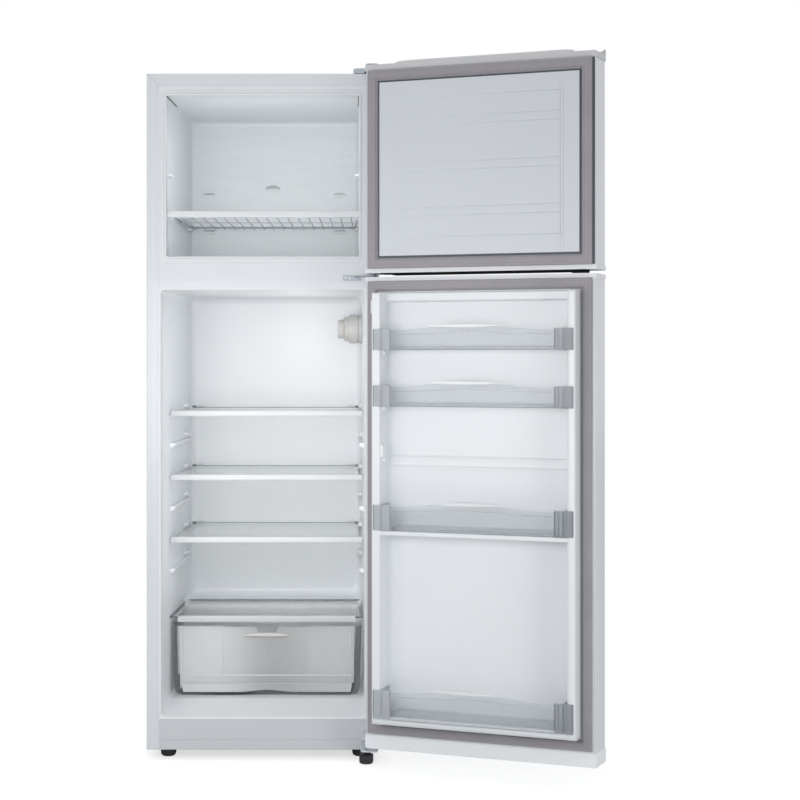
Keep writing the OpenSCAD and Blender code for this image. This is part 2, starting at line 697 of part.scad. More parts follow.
wire_low = freezer_low + wire_shelf_z + 4;
bar_y = [bar_front, bar_front + 13];
wire_y = [bar_y[1], freezer_depth - 8];
module freezer_shelf_bar() color("white") stand()
    block([0.6 - freezer_at(bar_y[1]), freezer_at(bar_y[1]) - 0.6], bar_y, [wire_low - 4, wire_low + 12]);
module freezer_shelf_wires() color("white") stand() {
    r = wire_d / 2;
    hw = freezer_at(wire_y[1]) - 12;
    z = wire_low + 3 * r + 0.3;
    for (i = [0:wire_count - 1]) translate([-hw + i * 2 * hw / (wire_count - 1), wire_y[0], z])
        rotate([-90, 0, 0]) cylinder(r = r, h = wire_y[1] - wire_y[0]);
    mid_y = (wire_y[0] + wire_y[1]) / 2;
    for (y = [wire_y[0] + 20, mid_y, wire_y[1] - 20]) let (x = freezer_at(y) - 1.5)
        translate([-x, y, wire_low + r]) rotate([0, 90, 0]) cylinder(r = r, h = 2 * x);
}

// ---- doors ---------------------------------------------------------------

// Plan of a door, shrunk by g; the inner edge is moved to the front by lip.
function door_plan(g, lip) = let (
    y_out = -door_gap - door_t, cx = out_hw - door_r, cy = y_out + door_r, n = 16)
    concat([[-in_hw + g, -door_gap - lip], [in_hw - g, -door_gap - lip]],
        arc([cx, cy], door_r - g, 0, -90),
        [for (i = [1:n - 1]) let (u = 1 - 2 * i / n) [cx * u, y_out + g - door_bow * (1 - u * u)]],
        arc([-cx, cy], door_r - g, -90, -180));
module door_slab(g, lip, z) translate([0, 0, z[0]]) linear_extrude(z[1] - z[0]) polygon(door_plan(g, lip));

module door_skin(z) color("white") hung() difference() {
    door_slab(0, 0, z);
    door_slab(sheet_t, -e, [z[0] - e, z[1] + e]);
}

// End cap with the bore for a hinge pin; up says that the bore opens at the top.
module door_cap(z, up) hung() difference() {
    door_slab(-cap_flare, 0, z);
    axis_at(up ? z[1] - pin_l - 0.5 : z[0] - e) cylinder(r = pin_r + pin_clear, h = pin_l + 0.5 + e);
}

module gasket(z) color("rosybrown") hung() {
    y = [-door_gap, -gasket_clear];
    hw = gasket_hw - gasket_w;
    difference() {
        block([-gasket_hw, gasket_hw], y, z);
        block([-hw, hw], [y[0] - e, y[1] + e], [z[0] + gasket_w, z[1] - gasket_w]);
    }
}

// A prism that leans in on all four sides, from the door's inner face.
module raised(hw, z, h, slope, from = 0) intersection() {
    tapered(hw - slope * from / h, hw - slope, [-door_gap + from, -door_gap + h], [z[0], z[1]]);
    along_x(hw + e, [[-door_gap + from, z[0] + slope * from / h], [-door_gap + h, z[0] + slope],
        [-door_gap + h, z[1] - slope], [-door_gap + from, z[1] - slope * from / h]]);
}

module flange(z) difference() {
    hw = in_hw - sheet_t;
    block([-hw, hw], [-door_gap - liner_t, -door_gap], z);
}

freezer_shell = [freezer_door[0] + split_cap, freezer_door[1] - high_cap];
fridge_shell = [fridge_door[0] + low_cap, fridge_door[1] - split_cap];

module freezer_door_skin() door_skin(freezer_shell);
module freezer_door_top_cap() color("white") {
    door_cap([freezer_shell[1], freezer_door[1]], true);
    hung() translate([ridge_x[0], -door_gap, freezer_door[1]]) rotate([90, 0, 90])
        linear_extrude(ridge_x[1] - ridge_x[0]) polygon([[-2, 0], [-6, ridge_h], [-50, ridge_h], [-58, 0]]);
    hung() intersection() {
        door_slab(-cap_flare, 0, [freezer_door[1] - e, freezer_door[1] + lip_h + lip_corner]);
        union() {
            block([-out_hw - e, -out_hw + lip_corner], lip_y, [0, case_h + 40]);
            block([-out_hw, ridge_x[1]], lip_y, [0, freezer_door[1] + lip_h]);
        }
    }
}
lip_corner = 4;                         // width and extra height of the lip's raised corner
lip_y = [-door_gap - door_t - 10, -door_gap - door_t + 17];
ridge_x = [-in_hw + 45, in_hw - 69];
module freezer_door_bottom_cap() color("white") difference() {
    door_cap([freezer_door[0], freezer_shell[0]], false);
    hung() grip_bar(freezer_door[0] - e);
}
grip_x = [20 - in_hw, in_hw - 60];
grip_y = [-door_gap - 40, -door_gap - 2];
toe_w = 38;                             // width of the grip's lower toe at the free end
toe_drop = 2;                           // how far the toe hangs below the grip
module grip_bar(low) block(grip_x, grip_y, [low, freezer_door[0] + grip_h]);
module freezer_door_grip() color("black") hung() {
    low = freezer_door[0] - grip_drop;
    grip_bar(low);
    block([grip_x[0], grip_x[0] + toe_w], grip_y, [low - toe_drop, freezer_door[0]]);
}
module freezer_door_foam() color("khaki") hung() {
    door_slab(sheet_t, liner_t, freezer_shell);
    freezer_core(liner_t);
}
// The raised panel of the freezer door shrunk by the liner, down to the foam's face.
module freezer_core(sunk) {
    hw = panel_hw - liner_t;
    z = [freezer_panel[0] + liner_t, freezer_panel[1] - liner_t];
    raised(hw, z, panel_h - liner_t, panel_slope);
    block([-hw, hw], [-door_gap - sunk, -door_gap + 0.001], z);
}
module freezer_door_liner() color("aliceblue") hung() difference() {
    y = [panel_h - door_gap - line_d, panel_h];
    union() {
        flange(freezer_shell);
        raised(panel_hw, freezer_panel, panel_h, panel_slope);
    }
    freezer_core(liner_t + e);
    for (i = [0:2], d = [0, line_pair]) let (z = freezer_panel[0] + line_low + i * line_pitch + d)
        block([-line_hw, line_hw], y, [z, z + line_w]);
    for (x = [-line_hw, line_hw - line_w]) block([x, x + line_w], y, line_box);
    for (z = line_box) block([-line_hw, line_hw], y, [z, z + line_w]);
}
panel_slope = 3;
line_d = 0.8;                           // recessed lines of the freezer door's inner panel
line_w = 2;
line_hw = 197;
line_low = 90;
line_pitch = 103;
line_pair = 19;
line_box = [freezer_panel[0] + 42, freezer_panel[1] - 40];
module freezer_door_gasket() gasket(freezer_seal);

module fridge_door_skin() door_skin(fridge_shell);
module fridge_door_top_cap() color("white") door_cap([fridge_shell[1], fridge_door[1]], true);
module fridge_door_bottom_cap() color("white") door_cap([fridge_door[0], fridge_shell[0]], false);

// The moulded relief of the fridge door, grown inwards by g for the foam behind it.
module relief(g) {
    h = pillar_h - g;
    s = pillar_slope;
    z = [fridge_panel[0] + g, fridge_panel[1] - g];
    both() translate([0, 0, z[0]]) linear_extrude(z[1] - z[0]) polygon([
        [pillar_in + g, -door_gap], [pillar_in + s + g * 0.9, h - door_gap],
        [pillar_out - s - g * 0.9, h - door_gap], [pillar_out - g, -door_gap]]);
    for (l = [[fridge_panel[0], bin_z[0]], [bin_z[1] - ledge_t, bin_z[1]]])
        block([-pillar_in - s, pillar_in + s], [-door_gap, h - door_gap - 2], [l[0] + g, l[1] - g]);
    block([-pillar_in - s, pillar_in + s], [-door_gap, 12 - door_gap - g], [z[1] - 14 + 2 * g, z[1]]);
}
module fridge_door_foam() color("khaki") hung() {
    door_slab(sheet_t, liner_t, fridge_shell);
    relief(liner_t);
    intersection() {
        translate([0, -liner_t, 0]) relief(liner_t);
        block([-in_hw, in_hw], [-door_gap - liner_t, -door_gap], [0, case_h]);
    }
}
module fridge_door_liner() color("white") hung() {
    difference() {
        union() {
            flange(fridge_shell);
            relief(0);
        }
        relief(liner_t);
        intersection() {
            translate([0, -liner_t, 0]) relief(liner_t);
            block([-in_hw, in_hw], [-door_gap - liner_t - e, -door_gap + 0.001], [0, case_h]);
        }
    }
    both() for (z = [spare_rack, bin_z[2], bin_z[3]])
        block([pillar_in - boss_w, pillar_in + 4], boss_y, [z - 12, z]);
}
module fridge_door_gasket() gasket(fridge_seal);

// ---- door racks ----------------------------------------------------------

bin_clear = 0.4;
boss_w = 5;                             // studs that carry the racks
boss_y = [22, 34];
bin_front = pillar_h - door_gap + bin_clear;    // where a rack passes in front of the pillars
bin_side = pillar_in - bin_clear;
module bin_rail(i) color("lightcyan", 0.4) hung() {
    z = bin_z[i];
    h = bin_h[i];
    hw = bin_side - bracket_w + 18;
    n = 24;
    translate([0, bin_front + bin_t, z]) rotate([90, 0, 0]) linear_extrude(bin_t) polygon(concat(
        [[hw, 0], [-hw, 0]],
        [for (k = [0:n]) let (u = 2 * k / n - 1) [hw * u, h - 4 + rail_arch * (1 + cos(180 * u)) / 2]]));
    block([-hw, hw], [4 - door_gap, bin_front], [z, z + bin_t]);
}
module bin_brackets(i) color("lightslategray", 0.8) hung() both() {
    z = [bin_z[i], bin_z[i] + bin_h[i]];
    hw = bin_side - bracket_w + 18;
    block([hw, pillar_out - pillar_slope], [bin_front, bin_front + bin_t], z);
    block([bin_side - bin_t, bin_side], [4 - door_gap, bin_front + bin_t], z);
    block([hw, bin_side], [4 - door_gap, bin_front], [z[0], z[0] + bin_t]);
}
module bin_1_rail() bin_rail(0);
module bin_1_brackets() bin_brackets(0);
module bin_2_rail() bin_rail(1);
module bin_2_brackets() bin_brackets(1);
module bin_3_rail() bin_rail(2);
module bin_3_brackets() bin_brackets(2);
module bin_4_rail() bin_rail(3);
module bin_4_brackets() bin_brackets(3);

outer_case();
back_panel();
base_pan();
rear_feet();
cabinet_foam();
fridge_liner();
freezer_box();
freezer_frame();
mullion_cover();
kick_panel();
fridge_evaporator();
drain_tube();
compressor();
compressor_grommets();
drip_tray();
condenser();
cord_gland();
top_hinge();
top_hinge_cap();
middle_hinge();
bottom_hinge();
hinge_screws();
left_foot();
right_foot();
hinge_foot();
thermostat_housing();
thermostat_knob();
lamp();
shelf_1_glass();
shelf_1_trim();
shelf_2_glass();
shelf_2_trim();
shelf_3_glass();
shelf_3_trim();
cover_glass();
cover_trim();
crisper_drawer();
freezer_shelf_wires();
freezer_shelf_bar();
freezer_door_skin();
freezer_door_top_cap();
freezer_door_bottom_cap();
freezer_door_grip();
freezer_door_foam();
freezer_door_liner();
freezer_door_gasket();
fridge_door_skin();
fridge_door_top_cap();
fridge_door_bottom_cap();
fridge_door_foam();
fridge_door_liner();
fridge_door_gasket();
bin_1_rail();
bin_1_brackets();
bin_2_rail();
bin_2_brackets();
bin_3_rail();
bin_3_brackets();
bin_4_rail();
bin_4_brackets();
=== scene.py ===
# Refrigerator with a freezer on top: the looks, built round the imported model.
import json
import math
import bpy
import bmesh
from mathutils import Matrix, Vector


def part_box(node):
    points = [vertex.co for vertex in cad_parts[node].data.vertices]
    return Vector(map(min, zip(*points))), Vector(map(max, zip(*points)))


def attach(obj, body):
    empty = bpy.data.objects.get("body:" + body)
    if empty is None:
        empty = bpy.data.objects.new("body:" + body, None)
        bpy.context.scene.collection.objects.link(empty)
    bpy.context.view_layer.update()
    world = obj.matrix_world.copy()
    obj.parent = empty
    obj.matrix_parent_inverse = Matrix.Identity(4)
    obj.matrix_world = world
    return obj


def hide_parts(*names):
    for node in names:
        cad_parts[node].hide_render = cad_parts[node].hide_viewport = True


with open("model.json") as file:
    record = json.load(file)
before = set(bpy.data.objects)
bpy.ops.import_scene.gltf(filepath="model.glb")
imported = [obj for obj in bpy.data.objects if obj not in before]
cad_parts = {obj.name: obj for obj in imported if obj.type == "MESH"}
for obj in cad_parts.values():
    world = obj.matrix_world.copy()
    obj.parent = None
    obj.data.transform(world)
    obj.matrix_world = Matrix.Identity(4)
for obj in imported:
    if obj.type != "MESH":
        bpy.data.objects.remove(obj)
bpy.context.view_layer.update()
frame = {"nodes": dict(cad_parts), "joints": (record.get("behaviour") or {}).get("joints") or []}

MM = 0.001
NODES = frame["nodes"]

# ---- sizes, read from the CAD boxes -------------------------------------------------
case_lo, case_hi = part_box("outer_case")
CASE_W = (case_hi.x - case_lo.x) / MM
CASE_D = (case_hi.y - case_lo.y) / MM
CASE_H = (case_hi.z - case_lo.z) / MM
HALF = CASE_W / 2


def cab_box(node):
    """Box of a CAD node in cabinet coordinates, mm: Y 0 at the case front, Z 0 at the case bottom."""
    lo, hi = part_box(node)
    shift = Vector((0, case_lo.y, case_lo.z))
    return (lo - shift) / MM, (hi - shift) / MM


JOINT = {j["name"]: j for j in frame["joints"]}
hinge = JOINT["fridge_door_hinge"]
PIVOT_X, PIVOT_Y = hinge["pos_m"][0] / MM, (hinge["pos_m"][1] - case_lo.y) / MM
OPEN = -math.radians(hinge["range_deg"][0])
CAB = Matrix.Translation((0, case_lo.y, case_lo.z)) @ Matrix.Scale(MM, 4)
PIN = Matrix.Translation((PIVOT_X, PIVOT_Y, 0))
HUNG = CAB @ PIN @ Matrix.Rotation(OPEN, 4, "Z") @ Matrix.Translation((-PIVOT_X, -PIVOT_Y, 0))

FLANGE = 30
FRONT_HW = HALF - FLANGE
liner_lo, liner_hi = cab_box("fridge_liner")
RIM = 4
FRIDGE_HW = FRONT_HW - RIM
SILL = liner_lo.z + RIM
FRIDGE_TOP = liner_hi.z - RIM
FRIDGE_D = liner_hi.y - 2
DRAFT = 13
HUMP_Y, HUMP_Z = FRIDGE_D - 143, 290
FLOOR_Z = SILL + 22
frz_lo, frz_hi = cab_box("freezer_frame")
FRZ_LOW, FRZ_TOP = frz_lo.z + 15, frz_hi.z - 22
FRZ_HW = HALF - 47
FRZ_D = cab_box("freezer_box")[1].y - 2
FRZ_DRAFT = 9
IN_HW, OUT_HW = HALF - 8, HALF + 2
DOOR_GAP, DOOR_T, DOOR_R, BOW = 10, 75, 15, 4
FACE = -DOOR_GAP
GASKET_HW, GASKET_W, GROOVE = IN_HW - 6, 24, 4
PANEL_HW = GASKET_HW - GASKET_W - GROOVE


def fridge_at(y):
    return FRIDGE_HW - DRAFT * y / FRIDGE_D


def freezer_at(y):
    return FRZ_HW - FRZ_DRAFT * y / FRZ_D


# ---- materials ----------------------------------------------------------------------
def add(tree, kind, values=(), **feeds):
    """Adds a shader node: values sets inputs by name, feeds joins an input to the socket that drives it."""
    node = tree.nodes.new("ShaderNode" + kind)
    for key, value in dict(values).items():
        node.inputs[key].default_value = value
    for key, socket in feeds.items():
        tree.links.new(socket, node.inputs[key])
    return node


MAT, SLOT = {}, {}


def look(key, slot, name, color, rough, bump, bump_scale, vary, vary_scale, stretch=(1, 1, 1), **sockets):
    """A Principled material with a slightly uneven colour and roughness and a fine surface texture."""
    m = bpy.data.materials.new(name)
    m.use_nodes = True
    t = m.node_tree
    base = t.nodes["Principled BSDF"]
    for socket, value in {"Base_Color": (*color, 1), "Roughness": rough, **sockets}.items():
        base.inputs[socket.replace("_", " ")].default_value = value
    where = add(t, "Mapping", {"Scale": stretch}, Vector=add(t, "TexCoord").outputs["Object"]).outputs["Vector"]
    cloud = add(t, "TexNoise", {"Scale": vary_scale, "Detail": 5}, Vector=where).outputs["Fac"]
    ramp = add(t, "ValToRGB", Fac=cloud)
    for stop, at, share in zip(ramp.color_ramp.elements, (0.3, 0.7), (1 - vary, 1 + vary)):
        stop.position = at
        stop.color = (*[min(1, c * share) for c in color], 1)
    t.links.new(ramp.outputs["Color"], base.inputs["Base Color"])
    spread = add(t, "MapRange", {"To Min": max(0, rough * 0.85), "To Max": min(1, rough * 1.15)}, Value=cloud)
    t.links.new(spread.outputs["Result"], base.inputs["Roughness"])
    if bump:
        fine = add(t, "TexNoise", {"Scale": bump_scale, "Detail": 3}, Vector=where)
        grain = add(t, "Bump", {"Strength": bump, "Distance": 0.0005}, Height=fine.outputs["Fac"])
        t.links.new(grain.outputs["Normal"], base.inputs["Normal"])
    MAT[key], SLOT[key] = m, slot


# Surfaces that several materials share: bump, its scale, unevenness, its scale and a stretch of the texture
GLOSSY, BRUSHED = (0.03, 500, 0.008, 3), (0.1, 500, 0.05, 40, (1, 1, 8))
LINED, MOULDED, SATIN = (0.08, 700, 0.012, 4), (0.05, 900, 0.012, 8), (0.08, 900, 0.012, 8)
CLEAR, TINTED = (0.0, 60, 0.01, 20), (0.0, 80, 0.02, 30)

# metal and what is painted
look("enamel", "white_enamel", "enamel", (0.72, 0.745, 0.775), 0.30, *GLOSSY, Coat_Weight=0.2)
look("kick", "white_enamel", "low_enamel", (0.62, 0.645, 0.67), 0.30, *GLOSSY, Coat_Weight=0.2)
look("wire", "white_enamel", "shelf_wire", (0.42, 0.44, 0.46), 0.35, 0.05, 900, 0.02, 20)
look("zinc", "zinc_sheet", "zinc_sheet", (0.55, 0.56, 0.57), 0.42, 0.15, 260, 0.10, 30, Metallic=0.85)
look("aluminium", "evaporator_aluminium", "aluminium", (0.74, 0.765, 0.78), 0.36, 0.12, 900, 0.02, 12, (1, 1, 6))
look("dent", "evaporator_aluminium", "dent_shade", (0.42, 0.45, 0.47), 0.4, 0.0, 900, 0.02, 20, Alpha=0.26)
look("black_metal", "black_metal", "black_metal", (0.025, 0.025, 0.027), 0.42, 0.25, 350, 0.2, 40, Coat_Weight=0.2)
look("steel", "hinge_steel", "hinge_steel", (0.66, 0.69, 0.73), 0.34, *BRUSHED, Metallic=0.4)
look("dull_steel", "hinge_steel", "middle_hinge_steel", (0.36, 0.385, 0.43), 0.4, *BRUSHED, Metallic=0.4)
# plastic, foam and rubber that light doesn't pass
look("foam", "insulation", "foam", (0.72, 0.64, 0.40), 0.9, 0.6, 400, 0.08, 40)
look("liner", "liner_plastic", "liner", (0.83, 0.85, 0.87), 0.33, *LINED)
look("door_liner", "liner_plastic", "door_liner", (0.79, 0.815, 0.84), 0.33, *LINED)
look("panel", "liner_plastic", "door_panel", (0.645, 0.675, 0.71), 0.36, *LINED)
look("white", "white_plastic", "white_plastic", (0.77, 0.79, 0.815), 0.34, *SATIN)
# A lighter copy of the white plastic for the fridge door's low cap: painted light.
look("foot", "white_plastic", "lit_low_cap_plastic", (0.86, 0.88, 0.905), 0.34, *SATIN)
look("rail", "white_plastic", "rail_plastic", (0.615, 0.625, 0.645), 0.4, *MOULDED)
look("crown", "white_plastic", "cap_plastic", (0.63, 0.635, 0.65), 0.4, *MOULDED)
look("warm", "white_plastic", "thermostat_plastic", (0.60, 0.585, 0.57), 0.4, *MOULDED)
look("cap_blue", "hinge_cap_plastic", "hinge_cap", (0.47, 0.53, 0.60), 0.38, 0.1, 1000, 0.04, 30)
look("lens", "clear_plastic", "grip_plastic", (0.72, 0.71, 0.69), 0.34, *MOULDED)
look("black", "black_plastic", "black_plastic", (0.03, 0.03, 0.033), 0.5, 0.3, 1200, 0.15, 60)
look("jet", "black_plastic", "grip_strip", (0.006, 0.006, 0.007), 0.8, 0.1, 900, 0.05, 30, Specular_IOR_Level=0.1)
look("rubber", "black_rubber", "black_rubber", (0.03, 0.03, 0.03), 0.7, 0.4, 900, 0.2, 60)
look("gasket", "gasket_vinyl", "gasket", (0.315, 0.30, 0.322), 0.5, 0.1, 900, 0.05, 14)
look("shade", "gasket_vinyl", "groove_shade", (0.085, 0.105, 0.13), 0.45, 0.05, 900, 0.05, 30)
# what light passes, wholly or in part
look("glass", "clear_glass", "shelf_glass", (0.90, 0.95, 0.945), 0.03, 0.0, 10, 0.01, 10,
     Transmission_Weight=1.0, IOR=1.2, Alpha=0.22)
look("edge", "clear_glass", "glass_edge", (0.16, 0.195, 0.22), 0.2, 0.0, 80, 0.04, 30, Alpha=0.7)
look("smoke", "smoke_plastic", "smoke_plastic", (0.47, 0.50, 0.53), 0.2, *TINTED, Transmission_Weight=0.4, IOR=1.3, Alpha=0.78)
# A paler copy of the smoke plastic for the brackets at the hinge end: painted light.
look("lit_smoke", "smoke_plastic", "lit_smoke_plastic", (0.67, 0.70, 0.73), 0.2, *TINTED, Transmission_Weight=0.4, IOR=1.3, Alpha=0.72)
look("streak", "smoke_plastic", "smoke_shadow", (0.24, 0.265, 0.295), 0.25, *TINTED, Alpha=0.8)
look("rack", "clear_plastic", "rack_plastic", (0.69, 0.715, 0.74), 0.12, *CLEAR, Transmission_Weight=0.8, IOR=1.2, Alpha=0.42)
look("drawer", "clear_plastic", "drawer_plastic", (0.95, 0.955, 0.955), 0.10, *CLEAR, Transmission_Weight=0.93, IOR=1.15, Alpha=0.15)
# A dark film on the clear drawer: painted shade.
look("veil", "clear_plastic", "painted_plastic_shade", (0.42, 0.45, 0.48), 0.2, *CLEAR, Alpha=0.17)
# A white film that paints light onto the drawer.
look("painted_light", "clear_plastic", "painted_light_film", (0.95, 0.955, 0.96), 0.25, *CLEAR, Alpha=0.35)
# A thin white film for painted highlights.
look("gloss", "clear_plastic", "painted_highlight_line", (0.95, 0.96, 0.97), 0.2, 0.0, 80, 0.01, 30, Alpha=0.6)
look("lamp", "lamp_glass", "lamp_glass", (1.0, 0.95, 0.85), 0.2, 0.0, 10, 0.01, 10,
     Transmission_Weight=0.5, Emission_Color=(1, 0.86, 0.62, 1), Emission_Strength=1.5)

# The painted light on the drawer is stronger at the sides than in the middle.
tree = MAT["painted_light"].node_tree
side_x = add(tree, "SeparateXYZ", Vector=add(tree, "TexCoord").outputs["Object"]).outputs["X"]
share = add(tree, "MapRange", {"From Min": -0.25, "From Max": 0.25}, Value=side_x).outputs["Result"]
light_ramp = add(tree, "ValToRGB", Fac=share)
light_ramp.color_ramp.interpolation = "B_SPLINE"
for at in (0.3, 0.46, 0.6, 0.8):
    light_ramp.color_ramp.elements.new(at)
for stop, alpha in zip(light_ramp.color_ramp.elements, (0.6, 0.57, 0.30, 0.32, 0.46, 0.42)):
    stop.color = (alpha, alpha, alpha, 1)
tree.links.new(light_ramp.outputs["Color"], tree.nodes["Principled BSDF"].inputs["Alpha"])


# ---- mesh helpers -------------------------------------------------------------------
def cosd(a):
    return math.cos(math.radians(a))


def sind(a):
    return math.sin(math.radians(a))


def arc(cx, cy, r, a, b, n=6):
    return [(cx + r * cosd(a + (b - a) * i / n), cy + r * sind(a + (b - a) * i / n)) for i in range(n + 1)]


def circle(r, n):
    return [(r * math.cos(2 * math.pi * i / n), r * math.sin(2 * math.pi * i / n)) for i in range(n)]


def knurled(cx, cy, r, cut, n, per):
    """Toothed ring: the last two of every per points stand back by cut."""
    radii = [r - (cut if i % per >= per - 2 else 0) for i in range(n)]
    return [(cx + k * x, cy + k * y) for k, (x, y) in zip(radii, circle(1, n))]


def rounded(u, v, r, n=5):
    """Rounded rectangle through u = (low, high), v = (low, high)."""
    r = max(0.02, min(r, (u[1] - u[0]) / 2.01, (v[1] - v[0]) / 2.01))
    return (arc(u[1] - r, v[1] - r, r, 0, 90, n) + arc(u[0] + r, v[1] - r, r, 90, 180, n)
            + arc(u[0] + r, v[0] + r, r, 180, 270, n) + arc(u[1] - r, v[0] + r, r, 270, 360, n))


def shift(points, u, v):
    return [(u + a, v + b) for a, b in points]


def mirrored(points):
    """The left half of an outline, from its right half."""
    return [(-x, y) for x, y in reversed(points)]


def stack(plan, heights):
    """The same plan at several heights."""
    return [[(x, y, z) for x, y in plan] for z in heights]


def span(side, a, b):
    """Low and high x of what lies between a and b from the middle, on one side (-1 or 1)."""
    return sorted((side * a, side * b))


def pointing(at, axis):
    """Placement that turns Z to an axis and then moves to a point."""
    return Matrix.Translation(at) @ Vector((0, 0, 1)).rotation_difference(Vector(axis)).to_matrix().to_4x4()


def face_out(bm):
    bmesh.ops.recalc_face_normals(bm, faces=bm.faces)


def face_in(bm):
    for f in bm.faces:
        f.normal_flip()


def loft(bm, rings, caps=(True, True), loop=False):
    """Skins a list of point rings; caps close the first and the last, loop joins them instead."""
    vs = [[bm.verts.new(p) for p in ring] for ring in rings]
    for a, b in zip(vs, vs[1:] + (vs[:1] if loop else [])):
        for i in range(len(a)):
            j = (i + 1) % len(a)
            bm.faces.new((a[i], a[j], b[j], b[i]))
    if caps[0]:
        bm.faces.new(list(reversed(vs[0])))
    if caps[1]:
        bm.faces.new(vs[-1])


def add_loft(bm, rings, caps=(True, True), matrix=None):
    """Skins rings as a part of their own that faces outward, then adds it."""
    tmp = bmesh.new()
    loft(tmp, rings, caps)
    face_out(tmp)
    merge(bm, tmp, matrix)


def extrude(bm, outline, axis, a, b, bevel=0.0):
    """Prism of a 2-D outline along an axis from a to b, its end edges rounded."""
    place = {"x": lambda p, t: (t, p[0], p[1]), "y": lambda p, t: (p[0], t, p[1]), "z": lambda p, t: (*p, t)}[axis]
    tmp = bmesh.new()
    loft(tmp, [[place(p, t) for p in outline] for t in (a, b)])
    face_out(tmp)
    if bevel:
        round_edges(tmp, bevel)
    merge(bm, tmp)


def round_edges(bm, offset, segments=2, angle=30):
    edges = [e for e in bm.edges if len(e.link_faces) == 2 and e.calc_face_angle(0) > math.radians(angle)]
    bmesh.ops.bevel(bm, geom=edges, offset=offset, segments=segments, profile=0.5, affect="EDGES", clamp_overlap=True)


def merge(bm, other, matrix=None):
    me = bpy.data.meshes.new("part")
    other.to_mesh(me)
    other.free()
    if matrix is not None:
        me.transform(matrix)
    bm.from_mesh(me)
    bpy.data.meshes.remove(me)


def block(bm, x, y, z, r=0.6, segments=2, matrix=None):
    """Box from (low, high) pairs with rounded edges."""
    tmp = bmesh.new()
    loft(tmp, stack(((x[0], y[0]), (x[1], y[0]), (x[1], y[1]), (x[0], y[1])), z))
    face_out(tmp)
    round_edges(tmp, min(r, *[(high - low) / 2.2 for low, high in (x, y, z)]), segments)
    merge(bm, tmp, matrix)


def lathe(bm, profile, matrix=None, n=48, caps=(True, True)):
    """Turns (radius, height) pairs about Z, then places them."""
    add_loft(bm, [[(x, y, h) for x, y in circle(r, n)] for r, h in profile], caps, matrix)


def fillet(points, r, n=5):
    """Rounds the corners of a polyline."""
    pts = [Vector(p) for p in points]
    out = [pts[0]]
    for a, b, c in zip(pts, pts[1:], pts[2:]):
        u, v = (a - b).normalized(), (c - b).normalized()
        t = min(r, (a - b).length / 2, (c - b).length / 2)
        p, q = b + u * t, b + v * t
        out += [p.lerp(b, k / n).lerp(b.lerp(q, k / n), k / n) for k in range(n + 1)]
    return out + [pts[-1]]


def tube(bm, points, r, n=10):
    """Round tube along a polyline, closed at both ends."""
    pts = [Vector(p) for p in points]
    pts = [p for i, p in enumerate(pts) if i == 0 or (p - pts[i - 1]).length > 1e-4]
    side = None
    rings = []
    for i, p in enumerate(pts):
        d = (pts[min(i + 1, len(pts) - 1)] - pts[max(i - 1, 0)]).normalized()
        side = side or d.orthogonal().normalized()
        side = (side - d * side.dot(d)).normalized()
        up = d.cross(side)
        rings.append([p + side * u + up * v for u, v in circle(r, n)])
    add_loft(bm, rings)


def piece(name, bm, body, mat, nodes=(), place=CAB, smooth=35, facing=True):
    """Makes an object of the mesh: placed, shaded, riding on a body and standing in for CAD nodes."""
    if facing:
        face_out(bm)
    me = bpy.data.meshes.new(name)
    bm.to_mesh(me)
    bm.free()
    me.transform(place)
    me.materials.append(MAT[mat])
    me.shade_smooth()
    me.set_sharp_from_angle(angle=math.radians(smooth))
    ob = bpy.data.objects.new(name, me)
    bpy.context.scene.collection.objects.link(ob)
    ob.modifiers.new("weighted_normals", "WEIGHTED_NORMAL").keep_sharp = True
    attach(ob, body)
    if nodes:
        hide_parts(*nodes)


def door_piece(body, part, bm, mat, node="", **options):
    """A piece named after its body, drawn with the door shut and hung where the door stands in the photo."""
    piece(body + part, bm, body, mat, [body + node] if node else (), place=HUNG, **options)


def keep(node, mat, bevel=0.0, sink=0.0):
    """A CAD node that is shown as it is, with a material, lightly rounded edges or faces drawn in."""
    ob = NODES[node]
    ob.data.materials.clear()
    ob.data.materials.append(MAT[mat])
    if bevel or sink:
        ob.modifiers.new("weld", "WELD").merge_threshold = 1e-5
    if bevel:
        b = ob.modifiers.new("soft_edges", "BEVEL")
        b.width, b.segments = bevel * MM, 2
        b.limit_method, b.angle_limit = "ANGLE", math.radians(50)
        b.harden_normals = False
    if sink:
        d = ob.modifiers.new("sunk", "DISPLACE")
        d.strength, d.mid_level = -sink * MM, 0


# ---- camera and light ---------------------------------------------------------------
cam = bpy.data.objects.new("camera", bpy.data.cameras.new("camera"))
bpy.context.scene.collection.objects.link(cam)
bpy.context.scene.camera = cam
cam.location = (0.2726, -3.761, 0.9518)
cam.rotation_euler = (math.radians(90), 0, 0)
cam.data.lens, cam.data.sensor_width = 66.6, 36
cam.data.shift_x, cam.data.shift_y = 0.0275, -0.053
cam.data.clip_start, cam.data.clip_end = 0.1, 60
bpy.context.scene.view_settings.view_transform = "Standard"

# The world lights the scene softly; the camera, mirrors and clear pieces see it white. The floor is lifted.
WORLD_LIT, WORLD_SEEN, FLOOR_LIFT, FLOOR_GREY = 0.58, 1.0, 0.63, 0.64
world = bpy.data.worlds.new("studio")
bpy.context.scene.world = world
world.use_nodes = True
tree = world.node_tree
tree.nodes.clear()
ray = add(tree, "LightPath").outputs
direct, any_seen = add(tree, "Math"), add(tree, "Math")
direct.operation = any_seen.operation = "MAXIMUM"
for node, first, second in ((direct, ray["Is Camera Ray"], ray["Is Glossy Ray"]),
                            (any_seen, direct.outputs[0], ray["Is Transmission Ray"])):
    tree.links.new(first, node.inputs[0])
    tree.links.new(second, node.inputs[1])
mix = add(tree, "MixShader")
tree.links.new(any_seen.outputs[0], mix.inputs[0])
for i, color, strength in ((1, (0.97, 0.985, 1.0, 1), WORLD_LIT), (2, (1, 1, 1, 1), WORLD_SEEN)):
    tree.links.new(add(tree, "Background", {"Color": color, "Strength": strength}).outputs[0], mix.inputs[i])
add(tree, "OutputWorld", Surface=mix.outputs[0])


